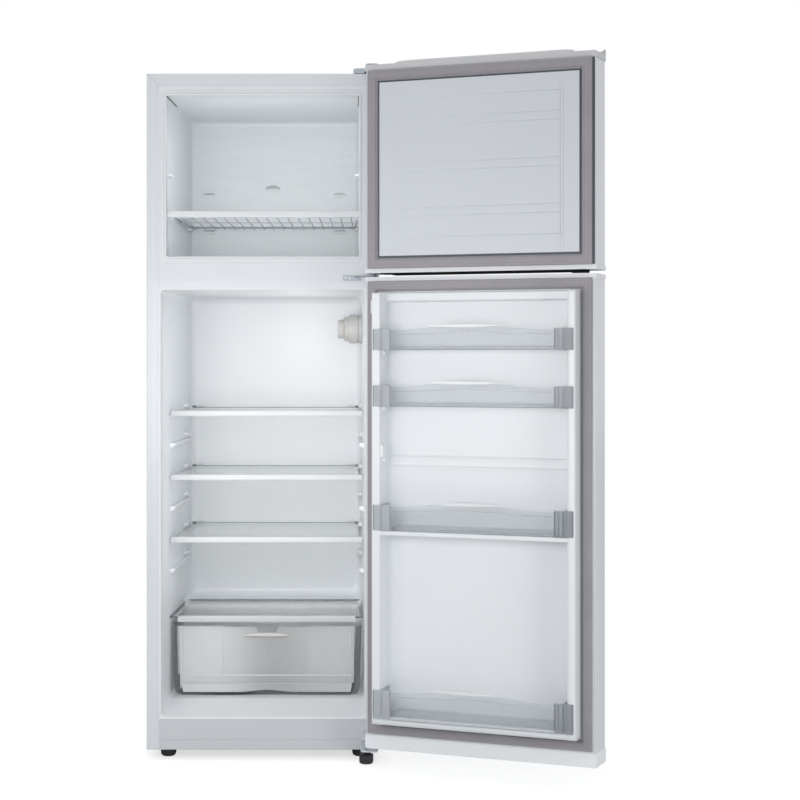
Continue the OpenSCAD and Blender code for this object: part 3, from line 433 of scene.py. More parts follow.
def area_light(name, at, look_at, size, watts):
    data = bpy.data.lights.new(name, "AREA")
    data.shape, data.size, data.size_y = "RECTANGLE", size[0], size[1]
    data.energy = watts
    ob = bpy.data.objects.new(name, data)
    ob.location = at
    ob.rotation_euler = (Vector(look_at) - Vector(at)).to_track_quat("-Z", "Y").to_euler()
    bpy.context.scene.collection.objects.link(ob)


FILL_Y = 4
area_light("front_softbox", (-0.15, -1.7, 0.9), (0.0, 0, 0.9), (0.9, 0.6), 6.9)
area_light("side_softbox", (-1.1, -1.6, 0.88), (0.0, -0.1, 0.88), (0.6, 0.5), 2.7)
area_light("right_softbox", (1.75, -1.7, 0.2), (0.65, -0.2, 0.3), (0.6, 0.5), 7.5)
area_light("top_softbox", (0.2, -0.6, 3.4), (0.1, -0.1, 0.8), (3.0, 2.0), 8)
area_light("fridge_fill", CAB @ Vector((0, FILL_Y, 690)), CAB @ Vector((0, 400, 690)), (0.42, 0.7), 0.55)
area_light("freezer_fill", CAB @ Vector((0, FILL_Y, 1340)), CAB @ Vector((0, 400, 1380)), (0.42, 0.3), 0.42)
bulb = bpy.data.lights.new("fridge_bulb", "POINT")
bulb.energy, bulb.color, bulb.shadow_soft_size = 0.2, (1.0, 0.97, 0.93), 0.06
bulb_at = bpy.data.objects.new("fridge_bulb", bulb)
bulb_at.location = CAB @ Vector((70, 250, FRIDGE_TOP - 110))
bpy.context.scene.collection.objects.link(bulb_at)

# Pale floor that is lifted to white for the camera alone
bm = bmesh.new()
bmesh.ops.create_grid(bm, x_segments=8, y_segments=8, size=12)
me = bpy.data.meshes.new("floor")
bm.to_mesh(me)
bm.free()
floor = bpy.data.objects.new("floor", me)
floor.location = (0, 0, -0.0005)
bpy.context.scene.collection.objects.link(floor)
floor_mat = bpy.data.materials.new("floor")
floor_mat.use_nodes = True
tree = floor_mat.node_tree
base = tree.nodes["Principled BSDF"]
for socket, value in (("Base Color", (*[FLOOR_GREY] * 3, 1)), ("Roughness", 0.9), ("Specular IOR Level", 0.1)):
    base.inputs[socket].default_value = value
lift = add(tree, "Math")
lift.operation = "MULTIPLY"
lift.inputs[1].default_value = FLOOR_LIFT
tree.links.new(add(tree, "LightPath").outputs["Is Camera Ray"], lift.inputs[0])
both = add(tree, "AddShader")
tree.links.new(base.outputs[0], both.inputs[0])
tree.links.new(add(tree, "Emission", Strength=lift.outputs[0]).outputs[0], both.inputs[1])
tree.links.new(both.outputs[0], tree.nodes["Material Output"].inputs["Surface"])
me.materials.append(floor_mat)

# ---- cabinet ------------------------------------------------------------------------
# Folded sheet case: one profile led up the left side, over the top and down the right. The profile gives the
# depth in from the outside and y. Each top corner has three stations; the middle one sinks into a seam.
outer = [(0, CASE_D), (0, 3)] + [(3 - 3 * cosd(a), 3 - 3 * sind(a)) for a in (22.5, 45, 67.5)] + [(3, 0)]
groove = [(9.4, 0), (9.8, 0.45), (10.6, 0.45), (11, 0), (25.6, 0), (25.9, 0.35), (26.7, 0.35), (27, 0),
          (FLANGE - 0.6, 0), (FLANGE, 0.5), (FLANGE, 1.0)]
profile = outer + groove + [(1.6, 1.4), (1, 2.2), (1, CASE_D)]
SEAM = ((-0.6, 0), (0, 0.9), (0.6, 0))


def sunk(depth):
    """The profile with its front face drawn in."""
    return [(d, y + (depth if y < 2.5 and d < FLANGE else 0)) for d, y in profile]


rings = [[(-HALF + d, y, 0) for d, y in profile]]
rings += [[(-HALF + d + max(s, 0), y, CASE_H - d + min(s, 0)) for d, y in sunk(depth)] for s, depth in SEAM]
rings += [[(HALF - d + min(s, 0), y, CASE_H - d - max(s, 0)) for d, y in sunk(depth)] for s, depth in SEAM]
rings.append([(HALF - d, y, 0) for d, y in profile])
bm = bmesh.new()
loft(bm, rings)
piece("case_wrapper", bm, "cabinet", "enamel", ["outer_case"], smooth=25)


def rect_ring(hw, z, r, y, n=5):
    return [(u, y, v) for u, v in rounded((-hw, hw), z, r, n)]


# Front plates
bm = bmesh.new()
m_lo, m_hi = cab_box("mullion_cover")
block(bm, (-FRONT_HW, FRONT_HW), (0, 2), (m_lo.z, m_hi.z), 0.3)
piece("mullion_plate", bm, "cabinet", "enamel", ["mullion_cover"])
bm = bmesh.new()
k_top = cab_box("kick_panel")[1].z
section = [(2, k_top), (0.8, k_top), (0, k_top - 0.9), (0, 24.4), (1.3, 23.6), (1.3, 20.8), (0, 20), (0, 1.1),
           (0.6, 0.5), (2, 0.5)]
extrude(bm, section, "x", -FRONT_HW, FRONT_HW)
piece("kick_plate", bm, "cabinet", "kick", ["kick_panel"])

# Moulded fridge compartment: rim, floor, the step over the machine room and the rounded back
BACK_R = 20
floor_line = [(0, SILL), (40, SILL + 9), (98, FLOOR_Z - 1), (105, FLOOR_Z)]
floor_line += shift([(-9, 0), (-3, 2), (1, 9)], HUMP_Y, FLOOR_Z)
floor_line += shift([(16, -12), (20, -4), (27, 0)], HUMP_Y, HUMP_Z)
steps = [(y, z, 0) for y, z in floor_line] + [(FRIDGE_D - BACK_R, HUMP_Z, 0)]
steps += [(FRIDGE_D - BACK_R + BACK_R * sind(a), HUMP_Z, BACK_R * (1 - cosd(a))) for a in (18, 36, 54, 72, 90)]
low, top = SILL - RIM, FRIDGE_TOP + RIM
rings = [rect_ring(FRONT_HW, (low, top), 0.3, 2), rect_ring(FRONT_HW, (low, top), 0.3, 0.4),
         rect_ring(FRONT_HW - 0.3, (low + 0.3, top - 0.3), 0.3, 0),
         rect_ring(FRIDGE_HW + 1.6, (SILL - 1.6, FRIDGE_TOP + 1.6), 4, 0),
         rect_ring(FRIDGE_HW + 0.5, (SILL - 0.5, FRIDGE_TOP + 0.5), 6, 0.6)]
for y, z, inset in steps:
    y = max(y, 1.6)
    rings.append(rect_ring(fridge_at(y) - inset, (z + inset, FRIDGE_TOP - inset), 8 + 0.02 * y, y))
bm = bmesh.new()
loft(bm, rings, caps=(False, True))
face_in(bm)


def wall_rib(bm, z, y0, y1, w, h, side):
    """Moulded ledge on a side wall: it leans out of the wall with rounded ends."""
    rings = []
    for t, k in ((0, 0.62), (0.006, 0.84), (0.016, 0.96), (0.03, 1.0), (0.88, 1.0), (0.95, 0.85), (1, 0.3)):
        y = y0 + (y1 - y0) * t
        x = fridge_at(y)
        section = ((x + 2, z - h * 0.5 - h * 0.5 * k), (x - w * k * 0.85, z - h * 0.42 * k - h * 0.2),
                   (x - w * k, z - h * 0.3 * k), (x - w * k, z - 1.2 * k), (x - w * k + 1.5, z), (x + 2, z))
        rings.append([(side * u, y, v) for u, v in section])
    add_loft(bm, rings)


shelf_low = [cab_box(f"shelf_{i}_trim")[0].z for i in (1, 2, 3)]
SEAT = shelf_low[0] - cab_box("shelf_1_glass")[0].z
RISE = FRIDGE_TOP - SILL
spare_low = [SILL + RISE * percent / 100 for percent in (32.2, 47.3, 62.7)]
cover_low = cab_box("cover_glass")[0].z
ledges = bmesh.new()
for z in [low - SEAT for low in shelf_low + spare_low]:
    for side in (-1, 1):
        wall_rib(ledges, z, 134, 420, 12, 15, side)
        wall_rib(ledges, z + 15, 345, 395, 10, 9.5, side)
for side in (-1, 1):
    wall_rib(ledges, cover_low, 140, HUMP_Y - 20, 12, 8, side)
merge(bm, ledges)
piece("fridge_tub", bm, "cabinet", "liner", ["fridge_liner"], facing=False)

# Freezer compartment
BEND_R = 12
steps = [(2.2, 0)] + [(FRZ_D * t, 0) for t in (0.3, 0.6, 0.9)]
steps += [(FRZ_D - BEND_R + BEND_R * sind(a), BEND_R * (1 - cosd(a))) for a in (0, 22.5, 45, 67.5, 90)]
rings = []
for y, i in steps:
    plan = rounded((-freezer_at(y) + i, freezer_at(y) - i), (FRZ_LOW + i * 0.4, FRZ_TOP - i), 3 + i * 0.4, 3)
    rings.append([(u, y, v) for u, v in plan])
bm = bmesh.new()
loft(bm, rings, caps=(False, True))
face_in(bm)
# Dents pressed into its back. The painted shade in an arch over each is a piece of its own; the middle one is the
# tallest.
DENT = [(1.12, -0.4), (1.08, 0.2), (1.02, 1.1), (0.94, 1.3), (0.84, 0.7), (0.6, 0.25), (0.01, 0.1)]
MIDDLE = (-4, 1374, 20, 8.5)
arches = []
for spot in ((-172, 1356, 16.5, 7), MIDDLE, (172, 1356, 16.5, 7), (-172, 1259, 16.5, 7), (172, 1259, 16.5, 7)):
    x, z, rx, rz = spot
    turned = Matrix.Rotation(math.radians(90), 4, "X") @ Matrix.Diagonal((rx, rz, 1, 1))
    lathe(bm, DENT, Matrix.Translation((x, FRZ_D, z)) @ turned, 40, caps=(False, True))
    low = z - 0.2 * rz
    arch = [(x + rx * 0.95 * cosd(a), low + rz * 1.05 * sind(a)) for a in range(0, 181, 15)]
    arches.append(arch if spot == MIDDLE else [(u, low + (v - low) * 0.55 + 2) for u, v in arch])
runner_z = cab_box("freezer_shelf_bar")[0].z + 4
for side in (-1, 1):
    for z, pairs in ((runner_z - 0.3, 2), (runner_z + 102, 1)):
        for y0, y1 in ((24, 60), (FRZ_D - 60, FRZ_D - 24))[:pairs]:
            block(bm, span(side, freezer_at(y1) - 9, freezer_at(y0) + 1), (y0, y1), (z - 6, z), 1.5)
piece("freezer_tub", bm, "cabinet", "aluminium", ["freezer_box"], facing=False)
# Dark lines in the two top corners: the seams, with the shadow in their gap painted black.
bm = bmesh.new()
for side in (-1, 1):
    a, b = [Vector((side * (freezer_at(y) - 0.6), y, FRZ_TOP - 1.2)) for y in (3, 150)]
    tube(bm, [a, a.lerp(b, 0.5), b], 1.3, 8)
piece("freezer_seam_shadows", bm, "cabinet", "black")
bm = bmesh.new()
for arch in arches:
    extrude(bm, arch, "y", FRZ_D - 1.7, FRZ_D - 1.35)
piece("freezer_dent_shade", bm, "cabinet", "dent")
# Its raised white frame: outer land, two ribs with a groove between, and the lip that laps into the box
low, top = frz_lo.z, frz_hi.z
rib_x, rib_low, rib_top = FRZ_HW + 4.5, FRZ_LOW - 4.5, FRZ_TOP + 4.5
rings = [rect_ring(FRONT_HW, (low, top), 0.2, 2), rect_ring(FRONT_HW, (low, top), 0.2, 0.4),
         rect_ring(FRONT_HW - 0.4, (low + 0.4, top - 0.4), 0.4, 0)]
for a, y in ((9.4, 0), (9.0, 1.3), (6.4, 1.3), (6.0, 0), (2.4, 0), (2.1, 1.0), (0.5, 1.0), (0, 0), (0, -1.7),
             (-0.8, -2.5)):
    rings.append(rect_ring(rib_x + a, (rib_low - a, rib_top + a), max(0.5, 2 + a), y))
for a, y in ((1.3, -2.5), (0.3, -1.8), (0, 0), (-0.3, 4)):
    rings.append(rect_ring(FRZ_HW + a, (FRZ_LOW - a, FRZ_TOP + a), 1.5 + a, y))
bm = bmesh.new()
loft(bm, rings, caps=(False, False))
face_in(bm)
piece("freezer_surround", bm, "cabinet", "white", ["freezer_frame"], facing=False)

# Feet: two plain ones under the front corners, and one on a thread that carries the hinge
for name in ("left_foot", "right_foot"):
    lo, hi = cab_box(name)
    c, r = (lo + hi) / 2, (hi.x - lo.x) / 2
    pad = [(-7, 0), (-5, 0.2), (-2.2, 2.2), (-0.6, 5.5), (0, 9), (0, 12), (-0.8, 12.4), (-0.8, 13.4), (0, 13.8)]
    neck = [(r, -1), (r - 0.6, -0.4), (5, -0.4), (4, -0.2), (4, hi.z)]
    bm = bmesh.new()
    lathe(bm, shift(pad, r, lo.z) + neck, Matrix.Translation((c.x, c.y, 0)))
    piece(name + "_moulded", bm, name, "black", [name], smooth=40)
lo, hi = cab_box("hinge_foot")
c, r = (lo + hi) / 2, (hi.x - lo.x) / 2
place = Matrix.Translation((c.x, c.y, 0))
half_pitch = 0.6
thread = [(4.0 if i % 2 else 3.5, -1.6 + i * half_pitch) for i in range(int((hi.z + 1) / half_pitch))]
bm = bmesh.new()
extrude(bm, knurled(c.x, c.y, r, 0.9, 96, 4), "z", lo.z + 3, -3.4, 0.4)
lathe(bm, shift([(-4, 0), (-1.5, 0.6), (-0.6, 3.2)], r, lo.z), place)
lathe(bm, [(r - 1.2, -3.6), (8, -2.2), (4.0, -1.8)] + thread + [(3.2, hi.z)], place, 32)
piece("hinge_foot_moulded", bm, "hinge_foot", "black", ["hinge_foot"], smooth=40)


# ---- hinges -------------------------------------------------------------------------
def screw(bm, at, axis, r=3.5, h=2.0):
    """Pan head with a cross recess; axis points out of the head."""
    place = pointing(at, axis)
    head = [(r, 0), (r, h * 0.45), (r * 0.86, h * 0.8), (r * 0.55, h), (r * 0.5, h)]
    lathe(bm, head, place, 32, caps=(True, False))
    w, arm = r * 0.13, r * 0.48
    cross = [(arm, -w), (arm, w), (w, w), (w, arm), (-w, arm), (-w, w), (-arm, w), (-arm, -w), (-w, -w), (-w, -arm),
             (w, -arm), (w, -w)]
    tmp = bmesh.new()
    tip = tmp.verts.new((0, 0, h * 0.3))
    low, top, rim = [[tmp.verts.new((x, y, z)) for x, y in outline]
                     for outline, z in ((cross, h * 0.35), (cross, h), (circle(r * 0.5, 32), h))]
    for i in range(len(cross)):
        j = (i + 1) % len(cross)
        tmp.faces.new((low[i], low[j], top[j], top[i]))
        tmp.faces.new((tip, low[j], low[i]))
    edges = [tmp.edges.new((a, b)) for a, b in zip(rim, rim[1:] + rim[:1])]
    edges += [tmp.edges.get((a, b)) for a, b in zip(top, top[1:] + top[:1])]
    bmesh.ops.triangle_fill(tmp, edges=edges, use_beauty=True)
    merge(bm, tmp, place)


HINGE_T, PIN_R = 3, 4
t_lo, t_hi = cab_box("top_hinge")
x0, x1, arm_z, arm_top = t_lo.x, t_hi.x, t_hi.z - HINGE_T, t_hi.z
bm = bmesh.new()
extrude(bm, rounded((x0, x1), (8, 70), 6), "z", CASE_H, CASE_H + HINGE_T, 0.5)
block(bm, (HALF - 30, x1), (8, 11), (CASE_H + 1, arm_top), 0.8)
extrude(bm, rounded((HALF - 30, x1), (t_lo.y, 10), 6), "z", arm_z, arm_top, 0.5)
lathe(bm, [(PIN_R - 0.6, t_lo.z), (PIN_R, t_lo.z + 1), (PIN_R, arm_top + 0.8), (PIN_R - 0.5, arm_top + 1)], PIN, 32)
piece("top_hinge_plate", bm, "cabinet", "steel", ["top_hinge"])
c_lo, c_hi = cab_box("top_hinge_cap")
NOSE = HALF - 32


def cover_row(z, g):
    """Plan of the hinge cover at a height, shrunk by g: the part over the case, then its nose over the arm."""
    x0, x1, y0, y1 = c_lo.x + g, c_hi.x - g, c_lo.y + g, c_hi.y - g
    plan = arc(x1 - 6, y1 - 6, 6, 0, 90, 4) + arc(x0 + 6, y1 - 6, 6, 90, 180, 4) + arc(x0 + 6, g + 6, 6, 180, 270, 4)
    plan += [(NOSE + g - 3, g), (NOSE + g, g - 3)]
    plan += arc(NOSE + g + 6, y0 + 6, 6, 180, 270, 4) + arc(x1 - 6, y0 + 6, 6, 270, 360, 4)
    return [(x, y, max(z, CASE_H + 6) if y < -0.5 else z) for x, y in plan]


bm = bmesh.new()
rows = [cover_row(c_hi.z - down, g) for down, g in ((4, 0.2), (1.2, 1.1), (0.3, 2.4), (0, 4))]
loft(bm, [cover_row(CASE_H, 0)] + rows, caps=(False, True))
block(bm, (c_lo.x + 14, c_hi.x - 14), (30, 62), (c_hi.z - 0.6, c_hi.z - 0.02), 0.3)
piece("top_hinge_cover", bm, "cabinet", "cap_blue", ["top_hinge_cap"], smooth=30)

h_lo, h_hi = cab_box("middle_hinge")
split = (cab_box("freezer_door_bottom_cap")[0].z + cab_box("fridge_door_top_cap")[1].z) / 2
mid_x = FRONT_HW - 12.6
bm = bmesh.new()
extrude(bm, rounded((h_lo.x, mid_x), (split - 8.8, split + 4), 2.5), "y", -HINGE_T, 0, 0.4)
tongue = [(mid_x - 19, 0), *arc(PIVOT_X, PIVOT_Y, 9, -200, 20, 12), (mid_x, 0)]
extrude(bm, tongue[::-1], "z", split - HINGE_T / 2, split + HINGE_T / 2, 0.4)
lathe(bm, [(PIN_R - 0.7, h_lo.z), (PIN_R, h_lo.z + 1)]
      + shift([(0, -2.5), (2.4, -2.3), (2.4, 2.3), (0, 2.5)], PIN_R, split)
      + [(PIN_R, h_hi.z - 1), (PIN_R - 0.7, h_hi.z)], PIN, 32)
piece("middle_hinge_plate", bm, "cabinet", "dull_steel", ["middle_hinge"])

b_lo, b_hi = cab_box("bottom_hinge")
bm = bmesh.new()
extrude(bm, rounded((b_lo.x, FRONT_HW), (0.3, 57), 3), "y", -HINGE_T, 0, 0.4)
extrude(bm, rounded((b_lo.x, b_hi.x), (b_lo.y, 0), 7), "z", 8, 8 + HINGE_T, 0.5)
block(bm, (b_lo.x + 0.3, b_lo.x + 2.6), (-14, 0), (11, 26), 0.5)
lathe(bm, [(PIN_R + 2, 10.5), (PIN_R + 2, 13), (PIN_R, 13.4), (PIN_R, 31), (PIN_R - 0.7, 32)], PIN, 32)
piece("bottom_hinge_plate", bm, "cabinet", "steel", ["bottom_hinge"])
bm = bmesh.new()
FRONTWARD, UPWARD = (0, -1, 0), (0, 0, 1)
for x, z in (((b_lo.x + FRONT_HW) / 2, 24), ((b_lo.x + FRONT_HW) / 2, 46), (mid_x - 36, split - 2.4),
             (mid_x - 26, split - 2.4)):
    screw(bm, (x, -HINGE_T, z), FRONTWARD)
for x, y in ((c_lo.x + 9, 25), (c_lo.x + 9, 55), (c_hi.x - 15, 40)):
    screw(bm, (x, y, CASE_H + HINGE_T), UPWARD)
piece("hinge_screw_heads", bm, "cabinet", "steel", ["hinge_screws"])


# ---- glass shelves, crisper and freezer shelf ---------------------------------------
def glass_pane(name, node, body):
    """Pane that narrows with the compartment; its upright edges are rounded more than the others."""
    lo, hi = cab_box(node)
    back_hw = hi.x - DRAFT * (hi.y - lo.y) / FRIDGE_D
    slab = bmesh.new()
    loft(slab, stack([(-hi.x, lo.y), (hi.x, lo.y), (back_hw, hi.y), (-back_hw, hi.y)], (lo.z, hi.z)))
    face_out(slab)
    upright = [e for e in slab.edges if abs((e.verts[0].co - e.verts[1].co).z) > 1]
    bmesh.ops.bevel(slab, geom=upright, offset=4, segments=4, profile=0.5, affect="EDGES")
    round_edges(slab, 0.8, 2, 50)
    bm = bmesh.new()
    merge(bm, slab)
    piece(name, bm, body, "glass", [node])


def glass_edge(node, body, front=None):
    """The dark edges of a pane: its rear edge, its sides and what shows of its front beside the rail."""
    lo, hi = cab_box(node)
    w0, w1 = hi.x, hi.x - DRAFT * (hi.y - lo.y) / FRIDGE_D
    z0, z1 = lo.z - 0.05, hi.z + 0.05
    bm = bmesh.new()
    block(bm, (-w1 + 3, w1 - 3), (hi.y - 1.0, hi.y + 0.05), (z0 + (0 if front else 2), z1), 0.2)
    for s in (-1, 1):
        if not front:
            # Dark blocks over the rear corners: the rear stops, painted in their shadow.
            block(bm, span(s, w1 - 13, w1 - 4), (hi.y - 40, hi.y - 12), (z1 + 0.1, z1 + 4.5), 0.8)
            continue
        loft(bm, [[(s * (w - d), y, z) for d, z in ((1.2, z0), (-0.05, z0), (-0.05, z1), (1.2, z1))]
                  for w, y in ((w0, lo.y + 4), (w1, hi.y - 4))])
        block(bm, span(s, front, w0 - 0.5), (lo.y - 0.1, lo.y + 1.5), (z0, z1), 0.4)
    piece(node + "_edge", bm, body, "edge")


# Front rail of a shelf in section: over the glass, round it and back to the drip lip
RAIL_LOW = [(3, 0), (1.8, 0.2), (0.5, 1.4), (0, 3.6)]
RAIL_TOP = [(0, -4.4), (0.3, -2), (1.1, -0.6), (2.6, 0), (9, 0), (9.3, -0.5), (10.1, -0.5), (10.4, 0), (15.2, 0),
            (16, -0.8), (16, -3.0), (12, -3.05), (12, -6.95), (16, -7), (16, -9.2), (15.4, -9.9), (5.6, -10.2),
            (5, -10.8)]
RAIL_BACK = [(5, 0.4), (4.6, 0)]


def toward(v, middle, step, reach):
    """Moves v by step to the middle if it is farther off than reach."""
    return v + step * (1 if v < middle else -1) * (abs(v - middle) > reach)


for i in (1, 2, 3):
    name, body = f"shelf_{i}_", f"shelf_{i}"
    lo, hi = cab_box(name + "trim")
    h = hi.z - lo.z - 1
    y0, y1, z0, z1, hw = lo.y, hi.y, lo.z, lo.z + h, hi.x
    section = shift(RAIL_LOW, y0, z0) + shift(RAIL_TOP, y0, z1) + shift(RAIL_BACK, y0, z0)
    ends = [(-hw, 0.6), (-hw + 0.6, 0.15), (-hw + 1.5, 0)]
    cy, cz = y0 + 8, z0 + h / 2
    bm = bmesh.new()
    loft(bm, [[(x, toward(y, cy, s, 6), toward(z, cz, s, 5)) for y, z in section] for x, s in ends + mirrored(ends)])
    clip = fridge_at(y1) - 12 - 8
    for side in (-1, 1):
        block(bm, span(side, clip - 16, clip), (y1 - 10, y1 - 0.1), (z1 - 3, z1 + 1), 1.2)
    piece(name + "rail", bm, body, "rail", [name + "trim"], smooth=40)
    glass_pane(name + "pane", name + "glass", body)
    glass_edge(name + "glass", body)

glass_pane("cover_pane", "cover_glass", "crisper_cover")
lo, hi = cab_box("cover_trim")
y0, z0, z1 = lo.y, lo.z, hi.z
section = (shift([(2, 0), (0.6, 0.8), (0, 2.6)], y0, z0)
           + shift([(0, -4), (0.4, -1.6), (1.6, -0.3), (3, 0), (10, 0), (11, -0.8)], y0, z1)
           + shift([(11, 4.02), (6, 4.02), (6, -0.02), (11, -0.02)], y0, cover_low)
           + shift([(11, 3), (10.2, 2.4), (5, 2.4), (4.4, 0.4), (3.6, 0)], y0, z0))
bm = bmesh.new()
extrude(bm, section, "x", -hi.x, hi.x)
piece("cover_rail", bm, "crisper_cover", "rail", ["cover_trim"], smooth=40)
glass_edge("cover_glass", "crisper_cover", hi.x + 0.5)

# Crisper drawer: a thin moulded tub whose front is divided so that its rim can dip into the finger scoop
lo, hi = cab_box("crisper_drawer")
dz0, dz1, dy0, dy1 = lo.z, hi.z, lo.y, hi.y
front_w, back_w = hi.x, fridge_at(dy1) - (fridge_at(dy0) - hi.x)
SCOOP, SCOOP_HW, SCOOP_SLOPE, WAVE_HW, CORNER_R = 26, 19, 13, 60, 22
DIVISIONS = [60, 52, 46, 38, 32, 30, 27, 23, 19]


def side_in(z):
    """How far a side of the drawer stands in at a height: it tapers, and its lower corner is round."""
    k = z - dz0
    corner = CORNER_R * (1 - math.sqrt(max(0.0, 1 - ((CORNER_R - min(k, CORNER_R)) / CORNER_R) ** 2)))
    return 0.9 * corner + 5 * (1 - k / (dz1 - dz0))


def drawer_ring(inset, z, dip=0.0, wave=0.0):
    """Plan ring of the drawer at a height; dip lowers the middle of the front, wave lifts its lower edge."""
    f, b = front_w - inset - side_in(z), back_w - inset - side_in(z)
    y0, y1 = dy0 + inset, dy1 - inset
    r = max(2, 16 - inset)
    ring = []
    for x in [-f + r] + [-d for d in DIVISIONS] + [0] + DIVISIONS[::-1] + [f - r]:
        k = max(0.0, min(1.0, 1 - (abs(x) - SCOOP_HW) / SCOOP_SLOPE))
        lift = 0.5 + 0.5 * math.cos(min(1, abs(x) / WAVE_HW) * math.pi)
        ring.append((x, y0, z - dip * k + wave * lift))
    turns = (arc(f - r, y0 + r, r, -90, 0, 6)[1:] + arc(b - 6, y1 - 6, 6, 0, 90, 4)
             + arc(6 - b, y1 - 6, 6, 90, 180, 4) + arc(-f + r, y0 + r, r, 180, 270, 6)[:-1])
    return ring + [(x, y, z) for x, y in turns]


bm = bmesh.new()
outer_z = [(6, 0.02, 7), (4, 0.8, 7), (3, 2.4, 6.5), (2.6, 6, 5), (2.4, 11, 2), (2.3, 16, 0), (2.2, 22, 0),
           (2.2, 60, 0)]
rim = [(2.1, 34), (2.0, 8), (1.6, 5.4), (0.3, 4.6), (0, 3.6), (0, 0.8), (0.7, 0), (3.6, 0), (4.4, 0.8), (4.5, 34)]
rings = [drawer_ring(g, dz0 + z, wave=w) for g, z, w in outer_z]
rings += [drawer_ring(g, dz1 - down, SCOOP if down < SCOOP else 0.0) for g, down in rim]
rings += [drawer_ring(g + 2.4, dz0 + z + 1.5, wave=w) for g, z, w in reversed(outer_z)]
loft(bm, rings)
face_out(bm)
piece("crisper_tub", bm, "crisper_drawer", "drawer", ["crisper_drawer"], smooth=40, facing=False)
# Painted highlights along the frame lines moulded into its front
bm = bmesh.new()
for x, w in ((-front_w + 24, 1.2), (-front_w + 33, 0.8), (front_w - 30, 0.7)):
    block(bm, (x - w, x + w), (dy0 + 1.7, dy0 + 2.9), (dz0 + 18, dz1 - 9), 0.5)
for z, w in ((dz0 + 50, 1.7), (dz0 + 30, 0.8)):
    block(bm, (-front_w + 25, front_w - 27), (dy0 + 1.7, dy0 + 2.9), (z - w, z + w), 0.5)
for x in (-108, -2, 104):
    block(bm, (x - 0.35, x + 0.35), (dy0 + 4.4, dy0 + 5.4), (dz0 + 20, dz1 - 36), 0.2)
piece("crisper_highlight_lines", bm, "crisper_drawer", "gloss")
# Corners and the parts of the front that are thick enough to darken
# Painted shade at its corners, down the sides of its front and in the finger scoop
bm = bmesh.new()
for s in (-1, 1):
    heights = [dz0 + k for k in (3, 6, 10, 15, 22, 60)] + [dz1 - 8]
    tube(bm, [(s * (front_w - 4.2 - side_in(z)), dy0 + 7, z) for z in heights], 2.0, 8)
piece("crisper_corners", bm, "crisper_drawer", "veil")
bm = bmesh.new()
for s in (-1, 1):
    loft(bm, [[(s * (front_w - k - side_in(z)), dy0 + y, z) for k, y in ((3, 3.2), (17, 1.9), (17, 1.5), (3, 2.6))]
              for z in (dz0 + 8, dz0 + 14, dz0 + 22, dz0 + 60, dz1 - 9)])
extrude(bm, [(-31, dz1 - 4), (31, dz1 - 4), (20, dz1 - SCOOP - 4), (-20, dz1 - SCOOP - 4)], "y", dy0 + 5, dy0 + 5.4)
piece("crisper_shaded_parts", bm, "crisper_drawer", "veil")
# Painted light on panels of its front. A height over 0 counts from the drawer's bottom, one under 0 from its top.
bm = bmesh.new()
W = front_w
for near, far, corners in (
        (1.3, 1.7, ((W - 30, 9), (W - 26, 29), (26 - W, 29), (30 - W, 9), (-60, 9), (0, 15), (60, 9))),
        (6.2, 6.5, ((W - 22, 30), (W - 20, -12), (20 - W, -12), (22 - W, 30))),
        (7.0, 7.3, ((-108, 52), (-108, -10), (22 - W, -10), (24 - W, 52))),
        (7.6, 7.9, ((-108, 52), (-108, -10), (14 - W, -10), (16 - W, 52))),
        (7.0, 7.3, ((104, 52), (104, -10), (W - 22, -10), (W - 24, 52)))):
    extrude(bm, [(x, (dz0 if k > 0 else dz1) + k) for x, k in corners], "y", dy0 + near, dy0 + far)
piece("crisper_painted_light", bm, "crisper_drawer", "painted_light")
# Finger grip under the scoop. A row is y and z, each with the share that grows to the middle of the grip.
GRIP = ((2.2, 0, -0.6, -4.6), (1.4, -0.9, -0.4, -4), (1.0, -0.9, 0, 0), (1.4, -0.6, 0.4, 2.6), (2.2, 0, 0.5, 3.2),
        (4, 16, 0.5, 3.2), (4, 16, 0.2, 1.4), (3.5, 0, -0.3, 0))
bm = bmesh.new()
rows = []
for u in [-1 + 2 * k / 24 for k in range(25)]:
    t = max(0.0, 1 - u * u)
    zc = dz1 - SCOOP - 7 + 3 * t
    rows.append([(57 * u, dy0 + y + dy * t, zc + z + dz * t) for y, dy, z, dz in GRIP])
loft(bm, rows)
piece("crisper_grip", bm, "crisper_drawer", "lens", smooth=40)

# Wire shelf: front rail, grid and the shaded wires round it
lo, hi = cab_box("freezer_shelf_bar")
y0, y1, z0, z1 = lo.y, hi.y, lo.z, hi.z
section = (shift([(3, 0), (0.8, 1), (0, 3.2)], y0, z0) + shift([(0, -4), (0.8, -1.2), (3, 0)], y0, z1)
           + shift([(-1, 0), (0, -1), (0, -3)], y1, z1) + shift([(4.5, -3.2), (3.4, -4.4)], y0, z1)
           + shift([(3.4, 3), (5.4, 2)], y0, z0) + [(y1, z0 + 2), (y1, z0)])
bm = bmesh.new()
extrude(bm, section, "x", -hi.x, hi.x)
piece("wire_shelf_rail", bm, "freezer_shelf", "white", ["freezer_shelf_bar"], smooth=40)
lo, hi = cab_box("freezer_shelf_wires")
r, wires = 1.5, 17
wy0, wy1, zw, low = y1, hi.y, hi.z - r, lo.z
hw = freezer_at(wy1) - 12
bm = bmesh.new()
for i in range(wires):
    x = -hw + i * 2 * hw / (wires - 1)
    line = [(x, wy0 - 7, zw - 3.0), (x, wy0 + 6, zw), (x, wy1 - 6, zw), (x, wy1 - 0.2, zw - 5)]
    tube(bm, fillet(line, 5, 4), r * 0.95, 8)
for y in (wy0 + 20, (wy0 + wy1) / 2, wy1 - 20):
    w = freezer_at(y) - 1.5
    tube(bm, [(x, y, low + r) for x in (-w, 0, w)], r)
piece("wire_shelf_grid", bm, "freezer_shelf", "wire", ["freezer_shelf_wires"], smooth=60)
bm = bmesh.new()
